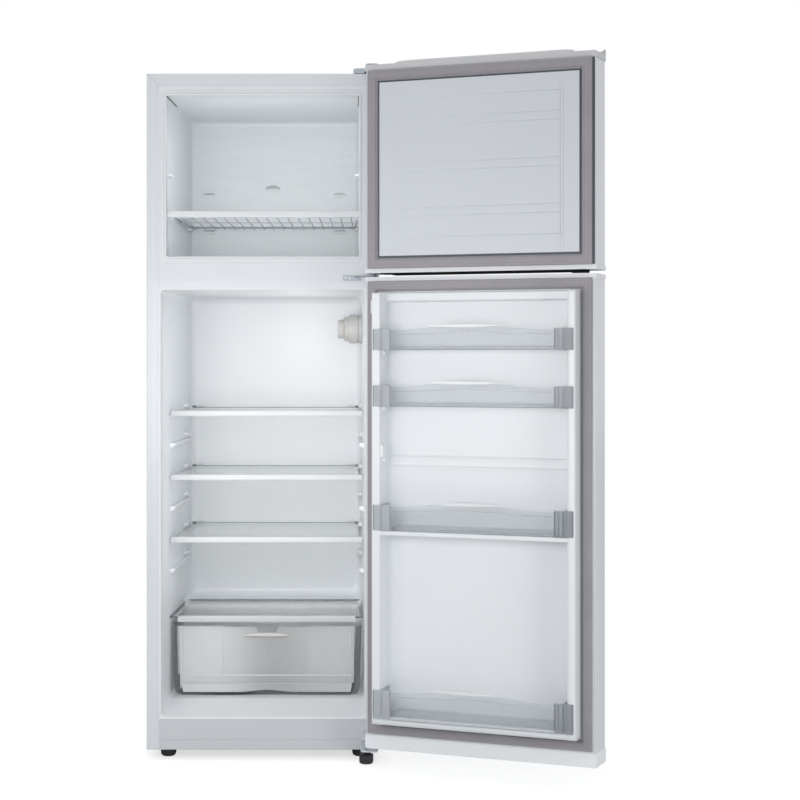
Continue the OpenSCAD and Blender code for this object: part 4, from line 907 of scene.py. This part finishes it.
for side in (-1, 1):
    line = ((freezer_at(wy0) - 4, wy0 - 6, low + r + 1.6), (freezer_at(wy0 + 20) - 4, wy0 + 20, low + 2.6 * r),
            (freezer_at(wy1) - 6, wy1 - 8, low + 2.6 * r), (freezer_at(wy1) - 22, wy1 - 3, low + 2.6 * r))
    tube(bm, fillet([(side * x, y, z) for x, y, z in line], 10), r * 1.15)
tube(bm, [(x, wy1 - 3.4, zw + 1.4) for x in (-hw - 6, 0, hw + 6)], 1.0, 8)
piece("wire_shelf_frame", bm, "freezer_shelf", "streak", smooth=60)

# Thermostat and lamp housing on the right wall, drawn about the axis of its dial
th_lo, th_hi = cab_box("thermostat_housing")
turn = JOINT["thermostat_turn"]
place = pointing(Vector(turn["pos_m"]), Vector(turn["axis"]).normalized()) @ Matrix.Scale(MM, 4)
R1 = (th_hi.z - th_lo.z) / 2
outside = [(-1, 0.15), (0, 1.0), (0, 7), (-1.4, 8.2), (-1.6, 10), (-0.6, 11), (-0.6, 31), (-1.8, 33.6), (-5.4, 34.4),
           (-5.8, 36), (-5.8, 44), (-7.2, 46)]
well = [(27, 46), (26.4, 45.2), (25.6, 45.2), (25, 46), (4, 46), (3.2, 45.6), (3.2, 43)]
bm = bmesh.new()
lathe(bm, shift(outside, R1, 0) + well, n=72)
for k in range(11):
    mark = Matrix.Rotation(math.radians(-45 + 27 * k), 4, "Z")
    block(bm, (-0.5, 0.5), (28, 30.6 if k % 5 else 31.5), (45.9, 46.35), 0.12, 1, mark)
for k in range(-5, 6):
    rib = Matrix.Rotation(math.radians(90 + 9 * k), 4, "Z")
    block(bm, (-1.2, 1.2), (R1 - 1.6, R1 - 0.2), (13, 29), 0.4, 1, rib)
piece("thermostat_case", bm, "cabinet", "warm", ["thermostat_housing"], place=place, smooth=30)
bm = bmesh.new()
lathe(bm, shift([(-0.5, 0.3), (1.0, 0.35), (1.0, 1.3), (-0.2, 1.6)], R1, 0), n=72)
lathe(bm, shift([(-1.9, 8.9), (-0.9, 9.0), (-0.9, 9.9), (-1.9, 10)], R1, 0), n=72)
piece("thermostat_joints", bm, "cabinet", "wire", place=place, smooth=30)
bm = bmesh.new()
outline = knurled(0, 0, 25, 0.8, 120, 5)
loft(bm, [[(x * s, y * s, z) for x, y in outline] for s, z in (
    (0.94, 46.3), (0.985, 46.9), (1, 48), (0.985, 59), (0.955, 61.4), (0.90, 62.8), (0.82, 63.3))])
block(bm, (-2.2, 2.2), (-19, 19), (62.9, 63.28), 1.2)
block(bm, (-0.7, 0.7), (9, 20), (63.0, 63.3), 0.2)
lathe(bm, [(2.9, 38.2), (3.0, 39), (3.0, 47)], n=24)
piece("thermostat_dial", bm, "thermostat_knob", "warm", ["thermostat_knob"], place=place, smooth=30)
lo, hi = cab_box("lamp")
c = (lo + hi) / 2
thread = [(6.9 if i % 2 else 6.3, 2 + i) for i in range(10)]
glass = [(7, 12.5), (8.4, 14.5), (9, 18), (9, 23), (8, 26.5), (5.5, 28.6), (2, 29.6), (0.1, 29.7)]
bm = bmesh.new()
lathe(bm, [(6.8, 0.5), (7, 1.5)] + thread + glass, pointing((th_hi.x - 4, c.y, c.z), (-1, -0.027, 0)), 32,
      caps=(True, False))
piece("bulb", bm, "cabinet", "lamp", ["lamp"], smooth=40)


# ---- doors --------------------------------------------------------------------------
def door_plan(g, corner=None, n=24):
    """A door in plan, shrunk by g: inner corner on the hinge side, side, bowed front, side, inner corner."""
    x, y = corner or (IN_HW - g, FACE)
    cx, y_out = OUT_HW - DOOR_R, FACE - DOOR_T
    right = arc(cx, y_out + DOOR_R, DOOR_R - g, 0, -90, 8)
    front = [(cx * (1 - 2 * i / n), y_out + g - BOW * (1 - (1 - 2 * i / n) ** 2)) for i in range(1, n)]
    return [(x, y)] + right + front + mirrored(right) + [(-x, y)]


def skin(z0, z1):
    """Folded door sheet: it wraps the front and both sides and is hemmed at the inner face."""
    fold = [(IN_HW - 2.0, FACE), (IN_HW - 0.7, FACE), (IN_HW - 0.1, FACE - 0.7)]
    outside = fold + door_plan(0)[1:-1] + mirrored(fold)
    inside = door_plan(1.0, (IN_HW - 2.0, FACE - 0.9))
    bm = bmesh.new()
    loft(bm, stack(outside + inside[::-1], (z0, z0 + (z1 - z0) / 3, z0 + 2 * (z1 - z0) / 3, z1)))
    return bm


FLARE = 2.2


def end_cap(z0, z1, soft_top=False, soft_low=False):
    """Moulded cap that stands out round the door's plan, its outer edges rounded more where they are soft."""
    low = [(1.2, 0), (0.3, 0.5), (0, 1.4)] if soft_low else [(0.5, 0), (0, 0.5)]
    top = [(0, -3), (0.4, -1.4), (1.4, -0.4), (2.8, 0)] if soft_top else [(0, -0.5), (0.5, 0)]
    bm = bmesh.new()
    loft(bm, [[(x, y, z) for x, y in door_plan(g)] for g, z in shift(low, -FLARE, z0) + shift(top, -FLARE, z1)])
    return bm


# A moulded wall in section: distance in from its foot, mm, and share of its height
EDGE = [(0, 0), (0.35, 0.06), (1.0, 0.88), (1.7, 0.955), (2.8, 0.99), (4.4, 1.0)]


def rise_from(d, h, scale=1.0):
    """Height of a moulded wall at a distance d in from its foot: a steep side and a rounded edge."""
    if d <= 0:
        return 0.0
    for (a, ha), (b, hb) in zip(EDGE, EDGE[1:]):
        if d < b * scale:
            return h * (ha + (hb - ha) * (d / scale - a) / (b - a))
    return h


def edge_lines(a, sign, scale=1.0):
    """Where the grid needs lines to draw a wall whose foot is at a."""
    return [a + sign * d * scale for d, _ in EDGE]


def relief(bm, xs, zs, height):
    """Sheet over a grid whose height above the door's inner face is a function of x and z."""
    xs, zs = sorted(set(round(v, 3) for v in xs)), sorted(set(round(v, 3) for v in zs))
    grid = [[bm.verts.new((x, FACE + height(x, z), z)) for x in xs] for z in zs]
    for a, b in zip(grid, grid[1:]):
        for i in range(len(xs) - 1):
            bm.faces.new((a[i], b[i], b[i + 1], a[i + 1]))


# Magnetic seal in section: distance in from its outer edge and height over the door's inner face
SEAL = [(1.5, 0), (1.5, 1.0), (0.3, 2.0), (0, 3.2), (0.9, 4.4), (2.2, 5.0), (1.0, 5.6), (0.35, 6.6), (0.5, 8.2),
        (1.6, 9.2), (3.2, 9.6), (6.2, 9.65), (6.8, 9.25), (7.4, 9.65), (15.6, 9.65), (16.2, 9.25), (16.8, 9.65),
        (19.0, 9.5), (20.2, 8.6), (20.4, 7.0), (19.6, 5.8), (21.6, 5.2), (23.2, 4.4), (24, 3.0), (23.6, 1.4),
        (22.4, 0.6), (22.4, 0)]


def gasket(door, low, top):
    """Mitred frame with a retaining foot, bellows folds and a broad magnet face."""
    corners = ((-1, low, 1), (1, low, 1), (1, top, -1), (-1, top, -1))
    bm = bmesh.new()
    loft(bm, [[(side * (GASKET_HW - d), FACE + h, z + inward * d) for d, h in SEAL] for side, z, inward in corners],
         caps=(False, False), loop=True)
    door_piece(door, "_seal", bm, "gasket", "_gasket", smooth=25)


ENDS, SHELL, PANEL = {}, {}, {}
for door in ("freezer_door", "fridge_door"):
    low_cap, top_cap = cab_box(door + "_bottom_cap"), cab_box(door + "_top_cap")
    seal_lo, seal_hi = cab_box(door + "_gasket")
    ENDS[door] = (low_cap[0].z, top_cap[1].z)
    SHELL[door] = (low_cap[1].z, cab_box(door + "_skin")[1].z)
    PANEL[door] = (seal_lo.z + GASKET_W + GROOVE, seal_hi.z - GASKET_W - GROOVE)
    door_piece(door, "_sheet", skin(*SHELL[door]), "enamel", "_skin", smooth=30)
    gasket(door, seal_lo.z, seal_hi.z)
    bm = bmesh.new()
    loft(bm, stack(door_plan(1.8, (IN_HW - 4, FACE - 3)), (SHELL[door][0] + 0.6, SHELL[door][1] - 0.6)))
    door_piece(door, "_core", bm, "foam", "_foam")

# Freezer door's caps. The top one carries a ridge, given as depth, share of its height and a last step, and a
# lip along the outer edge that ends in a raised corner.
RIDGE_H = 7
RIDGE = ((2, 0, -0.5), (2.6, 0.4, 0), (4.6, 0.85, 0), (8, 1, 0), (44, 1, 0), (50, 0.9, 0), (55, 0.45, 0),
         (58, 0, -0.5))
low, (shell_low, shell_top) = ENDS["freezer_door"][0], SHELL["freezer_door"]
cap_top = shell_top + 14
bm = end_cap(shell_top, cap_top, soft_top=True)
loft(bm, [[(x, FACE - d, cap_top + RIDGE_H * k * share + step) for d, share, step in RIDGE] for x, k in (
    (-222, 0), (-219, 0.45), (-213, 0.8), (-200, 1), (150, 1), (186, 0.86), (196, 0.5), (198, 0))])
lip_y = FACE - DOOR_T - FLARE
rows = []
for x, k, bow in ((-OUT_HW - 2.1, 11.5, 15), (-OUT_HW + 0.6, 11.9, 11), (-OUT_HW + 3, 11, 7), (-OUT_HW + 5, 8, 4),
                  (-OUT_HW + 12, 7.5, 0.8), (-OUT_HW + 20, 7.5, 0), (-120, 7.5, -2), (0, 7.5, -BOW), (120, 7.5, -1.6),
                  (188, 6.6, 0), (198, 0.4, 0)):
    y0, crest = lip_y + bow, cap_top + k
    rows.append([(x, y0, cap_top - 3), (x, y0, crest - 1.5), (x, y0 + 1.4, crest), (x, lip_y + 16.6, crest),
                 (x, lip_y + 18.6, crest - 1.6), (x, lip_y + 19.2, cap_top - 0.5)])
loft(bm, rows)
door_piece("freezer_door", "_crown", bm, "crown", "_top_cap")
bm = end_cap(low, shell_low, soft_low=True)
door_piece("freezer_door", "_sill", bm, "white", "_bottom_cap")
x0, x1 = -IN_HW + 20, IN_HW - 60
bm = bmesh.new()
block(bm, (x0, x1), (FACE - 40, FACE - 1), (low - 4.6, low + 2.9), 0.5)
block(bm, (x1 - 1, x1 + 26), (FACE - 40, FACE - 1), (low - 2.4, low + 0.5), 0.4)
block(bm, (x0, x0 + 38), (FACE - 40, FACE - 1), (low - 6.3, low + 1), 0.8)
for x in [x0 + 56 + k * 32 for k in range(12)]:
    block(bm, (x, x + 20), (FACE - 33, FACE - 9), (low - 3.5, low + 1), 0.4)
door_piece("freezer_door", "_grip_strip", bm, "jet", "_grip")
(low, top), (shell_low, shell_top) = ENDS["fridge_door"], SHELL["fridge_door"]
bm = end_cap(shell_top, top, soft_top=True)
door_piece("fridge_door", "_crown", bm, "white", "_top_cap")
bm = end_cap(low, shell_low, soft_low=True)
door_piece("fridge_door", "_foot", bm, "foot", "_bottom_cap")

# Inner face of the freezer door: a raised panel with a grooved frame, and pairs of grooves across it
SHEET_HW = IN_HW - 2.2
p0, p1 = PANEL["freezer_door"]
LINES = [p0 + 90 + i * 103 + k for i in range(3) for k in (0, 19)]
BOX_X, BOX_Z = 197, (p0 + 42, p1 - 40)


def freezer_face(x, z):
    h = min(rise_from(d, 6.5, 0.5) for d in (PANEL_HW - abs(x), z - p0, p1 - z))
    if h <= 6:
        return h
    dip = max(1 - abs(z - line) / 1.6 for line in LINES) if abs(x) < BOX_X - 8 else 0.0
    if abs(x) < BOX_X + 2 and BOX_Z[0] - 2 < z < BOX_Z[1] + 2:
        off = [abs(x) - BOX_X, z - BOX_Z[0], z - BOX_Z[1]] + ([abs(x) - (BOX_X - 7)] if x < 0 else [])
        dip = max([dip] + [1 - abs(d) / 1.8 for d in off])
    return h - (1.1 - 0.5 * x / BOX_X) * max(0.0, min(1.0, dip))


shell = SHELL["freezer_door"]
xs, zs = [-SHEET_HW, SHEET_HW], [*shell]
for s in (-1, 1):
    xs += [s * v for v in edge_lines(PANEL_HW, -1, 0.5)] + [s * (BOX_X + k) for k in (-8.2, -7.8, -2, -1, 0, 1, 2)]
xs += [-(BOX_X - 7) + k for k in (-1.8, 0, 1.8)] + [-100, -50, 0, 50, 100]
zs += edge_lines(p0, 1, 0.5) + edge_lines(p1, -1, 0.5)
zs += [line + k for line in LINES + list(BOX_Z) for k in (-1.8, -0.9, 0, 0.9, 1.8)]
bm = bmesh.new()
relief(bm, xs, zs, freezer_face)
door_piece("freezer_door", "_inner", bm, "panel", "_liner", smooth=40, facing=False)
# Shaded groove round the inner panel, and the dark strip down the free edge
bm = bmesh.new()
a, b = PANEL_HW + GROOVE - 0.4, PANEL_HW + 0.1
for x0, x1, z0, z1 in ((-a, -b, p0 - 3.6, p1 + 3.6), (b, a, p0 - 3.6, p1 + 3.6), (-b, b, p1, p1 + 3.6),
                       (-b, b, p0 - 3.6, p0)):
    block(bm, (x0, x1), (FACE + 0.05, FACE + 1.2), (z0, z1), 0.3)
block(bm, (-IN_HW + 0.6, -GASKET_HW + 0.5), (FACE + 0.05, FACE + 0.9), (shell[0] + 1, shell[1] - 1), 0.3)
door_piece("freezer_door", "_shade", bm, "shade")

# Inner face of the fridge door: two pillars, ledges between them, and two faint lines for a rack that isn't there
q0, q1 = PANEL["fridge_door"]
PIL_OUT = PANEL_HW + 2
PIL_IN = PIL_OUT - 13 - 10
PIL_H = 60
RACK_Z = [cab_box(f"bin_{i}_rail")[0].z for i in (1, 2, 3, 4)]
LEDGE = [(q0, RACK_Z[0]), (RACK_Z[1] - 12, RACK_Z[1])]
SPARE = SILL + RISE * 0.62
FAINT = (SPARE, SPARE - 22)


def fridge_face(x, z):
    off = abs(x)
    h = min(rise_from(off - PIL_IN, PIL_H, 2.6 if x < 0 else 1), rise_from(PIL_OUT - off, PIL_H),
            rise_from(z - q0, PIL_H, 5), rise_from(q1 - z, PIL_H))
    if off < PIL_IN + 9:
        for a, b in LEDGE:
            h = max(h, min(rise_from(z - a, PIL_H - 2, 5 if a == q0 else 0.55), rise_from(b - z, PIL_H - 2, 0.55)))
        h = max(h, min(rise_from(z - (q1 - 22), 12, 2.6), rise_from(q1 - z, 12, 0.6)))
    if h < 1 and off < PIL_IN - 12:
        h = max([h] + [1.6 * max(0.0, 1 - abs(z - line) / 3.0) for line in FAINT])
    return h


xs, zs = [-SHEET_HW, -GASKET_HW, GASKET_HW, SHEET_HW], [*SHELL["fridge_door"]]
for s in (-1, 1):
    xs += [s * v for v in edge_lines(PIL_OUT, -1) + edge_lines(PIL_IN, 1) + [PIL_IN - 12, PIL_IN - 12.4]]
xs += [-150, -75, 0, 75, 150] + edge_lines(-PIL_IN, -1, 2.6)
zs += edge_lines(q0, 1, 5) + [q0 + k for k in (0.6, 1.2, 3, 4, 6.5)]
zs += edge_lines(q1, -1) + edge_lines(q1 - 22, 1, 2.6) + edge_lines(q1, -1, 0.6)
for a, b in LEDGE:
    zs += edge_lines(a, 1, 0.55) + edge_lines(b, -1, 0.55)
zs += [line + k for line in FAINT for k in (-3, -1, 0, 1, 3)] + [300, 400, 620, 660, 760, 900, 1000]
bm = bmesh.new()
relief(bm, xs, zs, fridge_face)
studs = bmesh.new()
for s in (-1, 1):
    for z in (SPARE, RACK_Z[2], RACK_Z[3]):
        block(studs, span(s, PIL_IN - 5, PIL_IN + 4), (22, 34), (z - 12, z - 0.2), 1.6)
block(studs, (PIL_OUT - 3, PIL_OUT + 2.6), (22, 44), (q1 - 48, q1 - 18), 1.6)
block(studs, (PIL_IN - 5, PIL_IN + 4), (20, 46), (SPARE - 2, SPARE + 26), 1.6)
merge(bm, studs)
door_piece("fridge_door", "_inner", bm, "door_liner", "_liner", smooth=40, facing=False)

# ---- door racks ---------------------------------------------------------------------
F, SIDE_X, BIN_T = FACE + PIL_H + 0.4, PIL_IN - 0.4, 3
OUT_F = F + BIN_T
RAIL_HW, BRACKET_X = SIDE_X - 24, PIL_OUT - 5
ARCH_X = 22
# Bracket in plan: its front, its return round the pillar, and the wall beside it back to the door
BRACKET = (shift([(0, 0.4), (0, 2.6), (1, 3)], RAIL_HW, F)
           + shift([(-3, 3), (-0.8, 2.2), (0, 0.2), (-1.6, 0.1), (-2.4, 0.6)], BRACKET_X, F)
           + shift([(0.2, 0.6), (0, 0.2)], SIDE_X, F) + shift([(0, 5), (-0.6, 4), (-2.4, 4), (-3, 5)], SIDE_X, FACE)
           + shift([(-3, -1.6), (-4.4, 0)], SIDE_X, F))


def swell(u):
    """1 in the middle, falling smoothly to 0 at -1 and 1."""
    return 0.5 + 0.5 * math.cos(math.pi * u)


def guard(z, top):
    """A rack in section: floor, front wall up to its rim, and back along the inside to the rear lip."""
    return (shift([(4, 0)], FACE, z) + shift([(-6, 0), (-1.6, 1.2)], F, z)
            + shift([(-1.4, 4.5), (-0.2, 9), (-0.8, 12)], OUT_F, z)
            + shift([(-0.8, -6), (0, -4), (0, -1), (-0.8, 0)], OUT_F, top)
            + shift([(0.6, 0), (-0.6, -1.6), (0, -4.2)], F, top)
            + shift([(0.2, 12), (-0.8, 7), (-3.4, 4.4), (-8, 3)], F, z)
            + shift([(7, 2.6), (6.4, 9), (4, 9)], FACE, z))


def across(hw, n):
    return [-hw + 2 * hw * k / n for k in range(n + 1)]


for i, (z, h) in enumerate(zip(RACK_Z, (60, 58, 48, 48)), 1):
    name, lowest = f"bin_{i}", i == 1
    rows = []
    for x in across(RAIL_HW, 48):
        u = (x - ARCH_X) / (RAIL_HW - ARCH_X if x > ARCH_X else RAIL_HW + ARCH_X)
        rows.append([(x, y, v) for y, v in guard(z, z + h - 4 + 15.5 * swell(u) ** 1.25)])
    bm = bmesh.new()
    loft(bm, rows)
    face_out(bm)
    # a second moulded line dips below the arched rim
    rows = []
    for x in across(RAIL_HW - 6, 48):
        zc = z + h - 13 + 5.5 * swell(x / RAIL_HW) ** 2
        rows.append([(x, F + y, zc + v) for y, v in ((2.1, -0.9), (2.9, -0.3), (2.9, 0.3), (2.1, 0.9))])
    add_loft(bm, rows)
    if lowest:
        block(bm, (-RAIL_HW, RAIL_HW), (F + 0.6, F + 2.4), (z - 6, z + 4), 0.6)
    door_piece(name, "_guard", bm, "rack", "_rail", facing=False)
    # A thin line of painted shade along the foot of the rack's front
    bm = bmesh.new()
    low = z - 6 if lowest else z
    block(bm, (-RAIL_HW, RAIL_HW), (F + 2.2, F + 2.95), (low + 0.2, low + (1.4 if i < 3 else 2.2)), 0.2, 1)
    door_piece(name, "_lower_edge", bm, "streak")
    # A painted highlight on the hump of the arched rim
    bm = bmesh.new()
    rows = []
    for u in across(1, 16):
        x, top = 18 + 88 * u, z + h + 9.5 - 3.5 * u * u
        low = top - 6.5 * (1 - u * u) - 0.1
        rows.append([(x, F + 3.02, low), (x, F + 3.02, top), (x, F + 2.6, top), (x, F + 2.6, low)])
    loft(bm, rows)
    door_piece(name, "_hump_highlight", bm, "gloss")
    # The brackets at the hinge end take the paler copy of the smoke plastic: painted light.
    for s, end, mat in ((-1, "_free_end", "smoke"), (1, "_hinge_end", "lit_smoke")):
        rows = []
        for level, inset in ((z, 0.8), (z + 0.8, 0), (z + h - 1, 0), (z + h, 0.8)):
            k = 1 - inset / 40
            rows.append([((SIDE_X + (x - SIDE_X) * k) * s, F + (y - F) * k, level) for x, y in BRACKET])
        bm = bmesh.new()
        add_loft(bm, rows)
        block(bm, span(s, RAIL_HW + 0.2, SIDE_X - 2.8), (FACE + 4, F + 0.6), (z + 0.05, z + 3), 0.8)
        if lowest:
            block(bm, span(s, RAIL_HW, BRACKET_X), (F + 0.6, F + 2.9), (z - 6, z + 1), 1.2)
        block(bm, span(s, SIDE_X - 4, SIDE_X + 6), (F + 0.2, F + 3.0), (z + 0.1, z + 4), 0.8)
        door_piece(name, end, bm, mat, "_brackets", facing=False)
    bm = bmesh.new()
    last = (PIL_OUT - 8 - RAIL_HW, PIL_OUT - 6 - RAIL_HW)
    for s, bands in ((-1, ((0.4, 3.4), (9, 11), (19, 21.5), last)), (1, ((0.4, 1.6), (20, 21), last))):
        for a, b in bands:
            block(bm, span(s, RAIL_HW + a, RAIL_HW + b), (F + 2.5, F + 3.0), (z + 1.5, z + h - 1.5), 0.2, 1)
    door_piece(name, "_streaks", bm, "streak")

# ---- back and machine room ----------------------------------------------------------
keep("cabinet_foam", "foam", sink=0.8)
keep("back_panel", "zinc")
keep("base_pan", "zinc")
keep("rear_feet", "black", 1.5)
keep("fridge_evaporator", "aluminium")
keep("drain_tube", "white")
keep("cord_gland", "black", 0.6)

bm = bmesh.new()
spots = [(x, 280 + k * (CASE_H - 310) / 7) for x in (-HALF + 12, HALF - 12) for k in range(8)]
for x, z in spots + [(x, CASE_H - 14) for x in (-170, 0, 170)]:
    screw(bm, (x, CASE_D, z), (0, 1, 0), 3.2, 1.6)
for x in (-205, 205):
    place = Matrix.Translation((x, CASE_D, 900)) @ Matrix.Rotation(math.radians(-90), 4, "X")
    lathe(bm, [(11, 0), (11, 0.8), (8.5, 1.5), (6, 1.5), (5, 0.9), (0.1, 0.9)], place, 36, caps=(False, True))
piece("back_screws", bm, "cabinet", "steel", smooth=40)

# Condenser: one tube led back and forth from the compressor, wires spot-welded to it, brackets to the back sheet
comp_lo, comp_hi = cab_box("compressor")
CX, CY, CZ, COMP_L, COMP_D = 40, 466, comp_lo.z, 190, 146
ty = CASE_D + 12
low, top, chw, passes, rods, tr = 330, 1450, 175, 18, 18, 2.5
pitch = (top - low) / (passes - 1)
riser_x = -chw - pitch / 2 - 12
shell_x = CX - (COMP_L - COMP_D) / 2 - math.sqrt((COMP_D / 2) ** 2 - (ty - tr - CY) ** 2) - 0.3
route = [(shell_x, ty, 60), (-chw, ty, 60), (-chw, ty, low)]
for i in range(passes):
    zc = low + i * pitch
    s = 1 if i % 2 else -1
    if i:
        route += [(s * chw + s * pitch / 2 * cosd(a), ty, zc - pitch / 2 + pitch / 2 * sind(a)) for a in
                  (-60, -30, 0, 30, 60)]
    route += [(s * chw, ty, zc), (-s * chw, ty, zc)]
bm = bmesh.new()
tube(bm, fillet(route[:4], 8, 4)[:-1] + route[3:], tr)
tube(bm, fillet([(-chw, ty, top), (riser_x, ty, top), (riser_x, ty, 35), (shell_x, ty, 35)], 8, 4), tr)
drier = [(2.6, 84), (5, 87), (8.9, 92), (8.9, 196), (5, 203), (2.6, 206)]
lathe(bm, drier, Matrix.Translation((-chw, ty, 0)), 28)
wires = bmesh.new()
for i in range(rods):
    x = -chw + 12 + i * (2 * chw - 24) / (rods - 1)
    tube(wires, [(x, ty + tr + 0.7, z) for z in (low - 20, (low + top) / 2, top + 20)], 0.8, 8)
merge(bm, wires)
for s in (-1, 1):
    for zc in (low + pitch, top - pitch):
        block(bm, span(s, chw - 60, chw - 48), (CASE_D, ty), (zc - 4, zc + 4), 0.8)
        block(bm, span(s, chw - 66, chw - 42), (CASE_D, CASE_D + 1.2), (zc - 9, zc + 9), 0.5)
piece("condenser_coil", bm, "cabinet", "black_metal", ["condenser"], smooth=50)


# Compressor: two pressed shells with a weld seam, feet, terminal cover and process tube
def stadium(g, z, n=14):
    """Plan of the shell, shrunk by g: two half circles and the straight sides between them."""
    r, s = COMP_D / 2 - g, (COMP_L - COMP_D) / 2
    return ([(CX + s + r * cosd(a), CY + r * sind(a), CZ + z) for a in [-90 + 180 * i / n for i in range(n + 1)]]
            + [(CX - s - r * cosd(a), CY + r * sind(a), CZ + z) for a in [90 - 180 * i / n for i in range(n + 1)]])


SHELL_ROWS = [(46, 8), (30, 9), (14, 14), (4, 26), (1.2, 44), (1.0, 84), (1.0, 92), (0, 92.6), (0, 97.4), (1.0, 98),
              (1.0, 104), (2, 122), (6, 140), (14, 152), (26, 159), (42, 163), (60, comp_hi.z - comp_lo.z)]
half_l, half_d = COMP_L / 2, COMP_D / 2
FEET = [(CX + sx * (half_l + 8), CY + sy * (half_d - 30)) for sx in (-1, 1) for sy in (-1, 1)]
bm = bmesh.new()
loft(bm, [stadium(g, z) for g, z in SHELL_ROWS])
block(bm, (CX - half_l - 18, CX + half_l + 18), (CY - half_d + 20, CY - half_d + 52), (CZ, CZ + 3), 0.8)
block(bm, (CX - half_l - 18, CX + half_l + 18), (CY + half_d - 52, CY + half_d - 20), (CZ, CZ + 3), 0.8)
block(bm, (CX - half_l + 30, CX + half_l - 30), (CY - half_d + 30, CY + half_d - 30), (CZ + 1, CZ + 12), 2)
for x, y in FEET:
    lathe(bm, [(8, 3), (8, 4.5), (4, 4.6), (4, 9), (2.5, 10)], Matrix.Translation((x, y, CZ)), 24)
stub = [(CX + 50, CY + 30, CZ + 118), (CX + 92, CY + 34, CZ + 118), (CX + 92, CY + 34, CZ + 150)]
tube(bm, fillet(stub, 10), 3)
piece("compressor_shell", bm, "cabinet", "black_metal", ["compressor"], smooth=40)
bm = bmesh.new()
block(bm, (CX - half_l - 26, CX - half_l + 10), (CY - 26, CY + 26), (CZ + 50, CZ + 110), 4, 3)
block(bm, (CX - half_l - 25.2, CX - half_l - 10), (CY - 27, CY + 27), (CZ + 76, CZ + 80), 0.8)
piece("relay_cover", bm, "cabinet", "black", smooth=40)
GROMMET = [(8, 0), (9, 1), (9, 4), (6.4, 5), (6.4, 7), (9, 8), (9, 11), (8, 12)]
bm = bmesh.new()
for x, y in FEET:
    lathe(bm, GROMMET, Matrix.Translation((x, y, CZ - 12)), 28)
piece("rubber_grommets", bm, "cabinet", "rubber", ["compressor_grommets"], smooth=40)
t_lo, t_hi = cab_box("drip_tray")


def tray_ring(i, z, r):
    return [(x, y, z) for x, y in rounded((t_lo.x + i, t_hi.x - i), (t_lo.y + i, t_hi.y - i), r)]


low, top = t_lo.z, t_hi.z
bm = bmesh.new()
loft(bm, [tray_ring(*row) for row in (
    (6, low, 12), (3.6, low + 0.8, 14), (2.8, low + 3, 14), (1.6, top - 2.4, 14), (0, top - 1.8, 15),
    (0, top - 0.3, 15), (2.4, top, 13), (4, top - 1, 12), (5.2, low + 4, 12), (8, low + 2.4, 10))])
piece("evaporation_tray", bm, "cabinet", "black", ["drip_tray"], smooth=40)
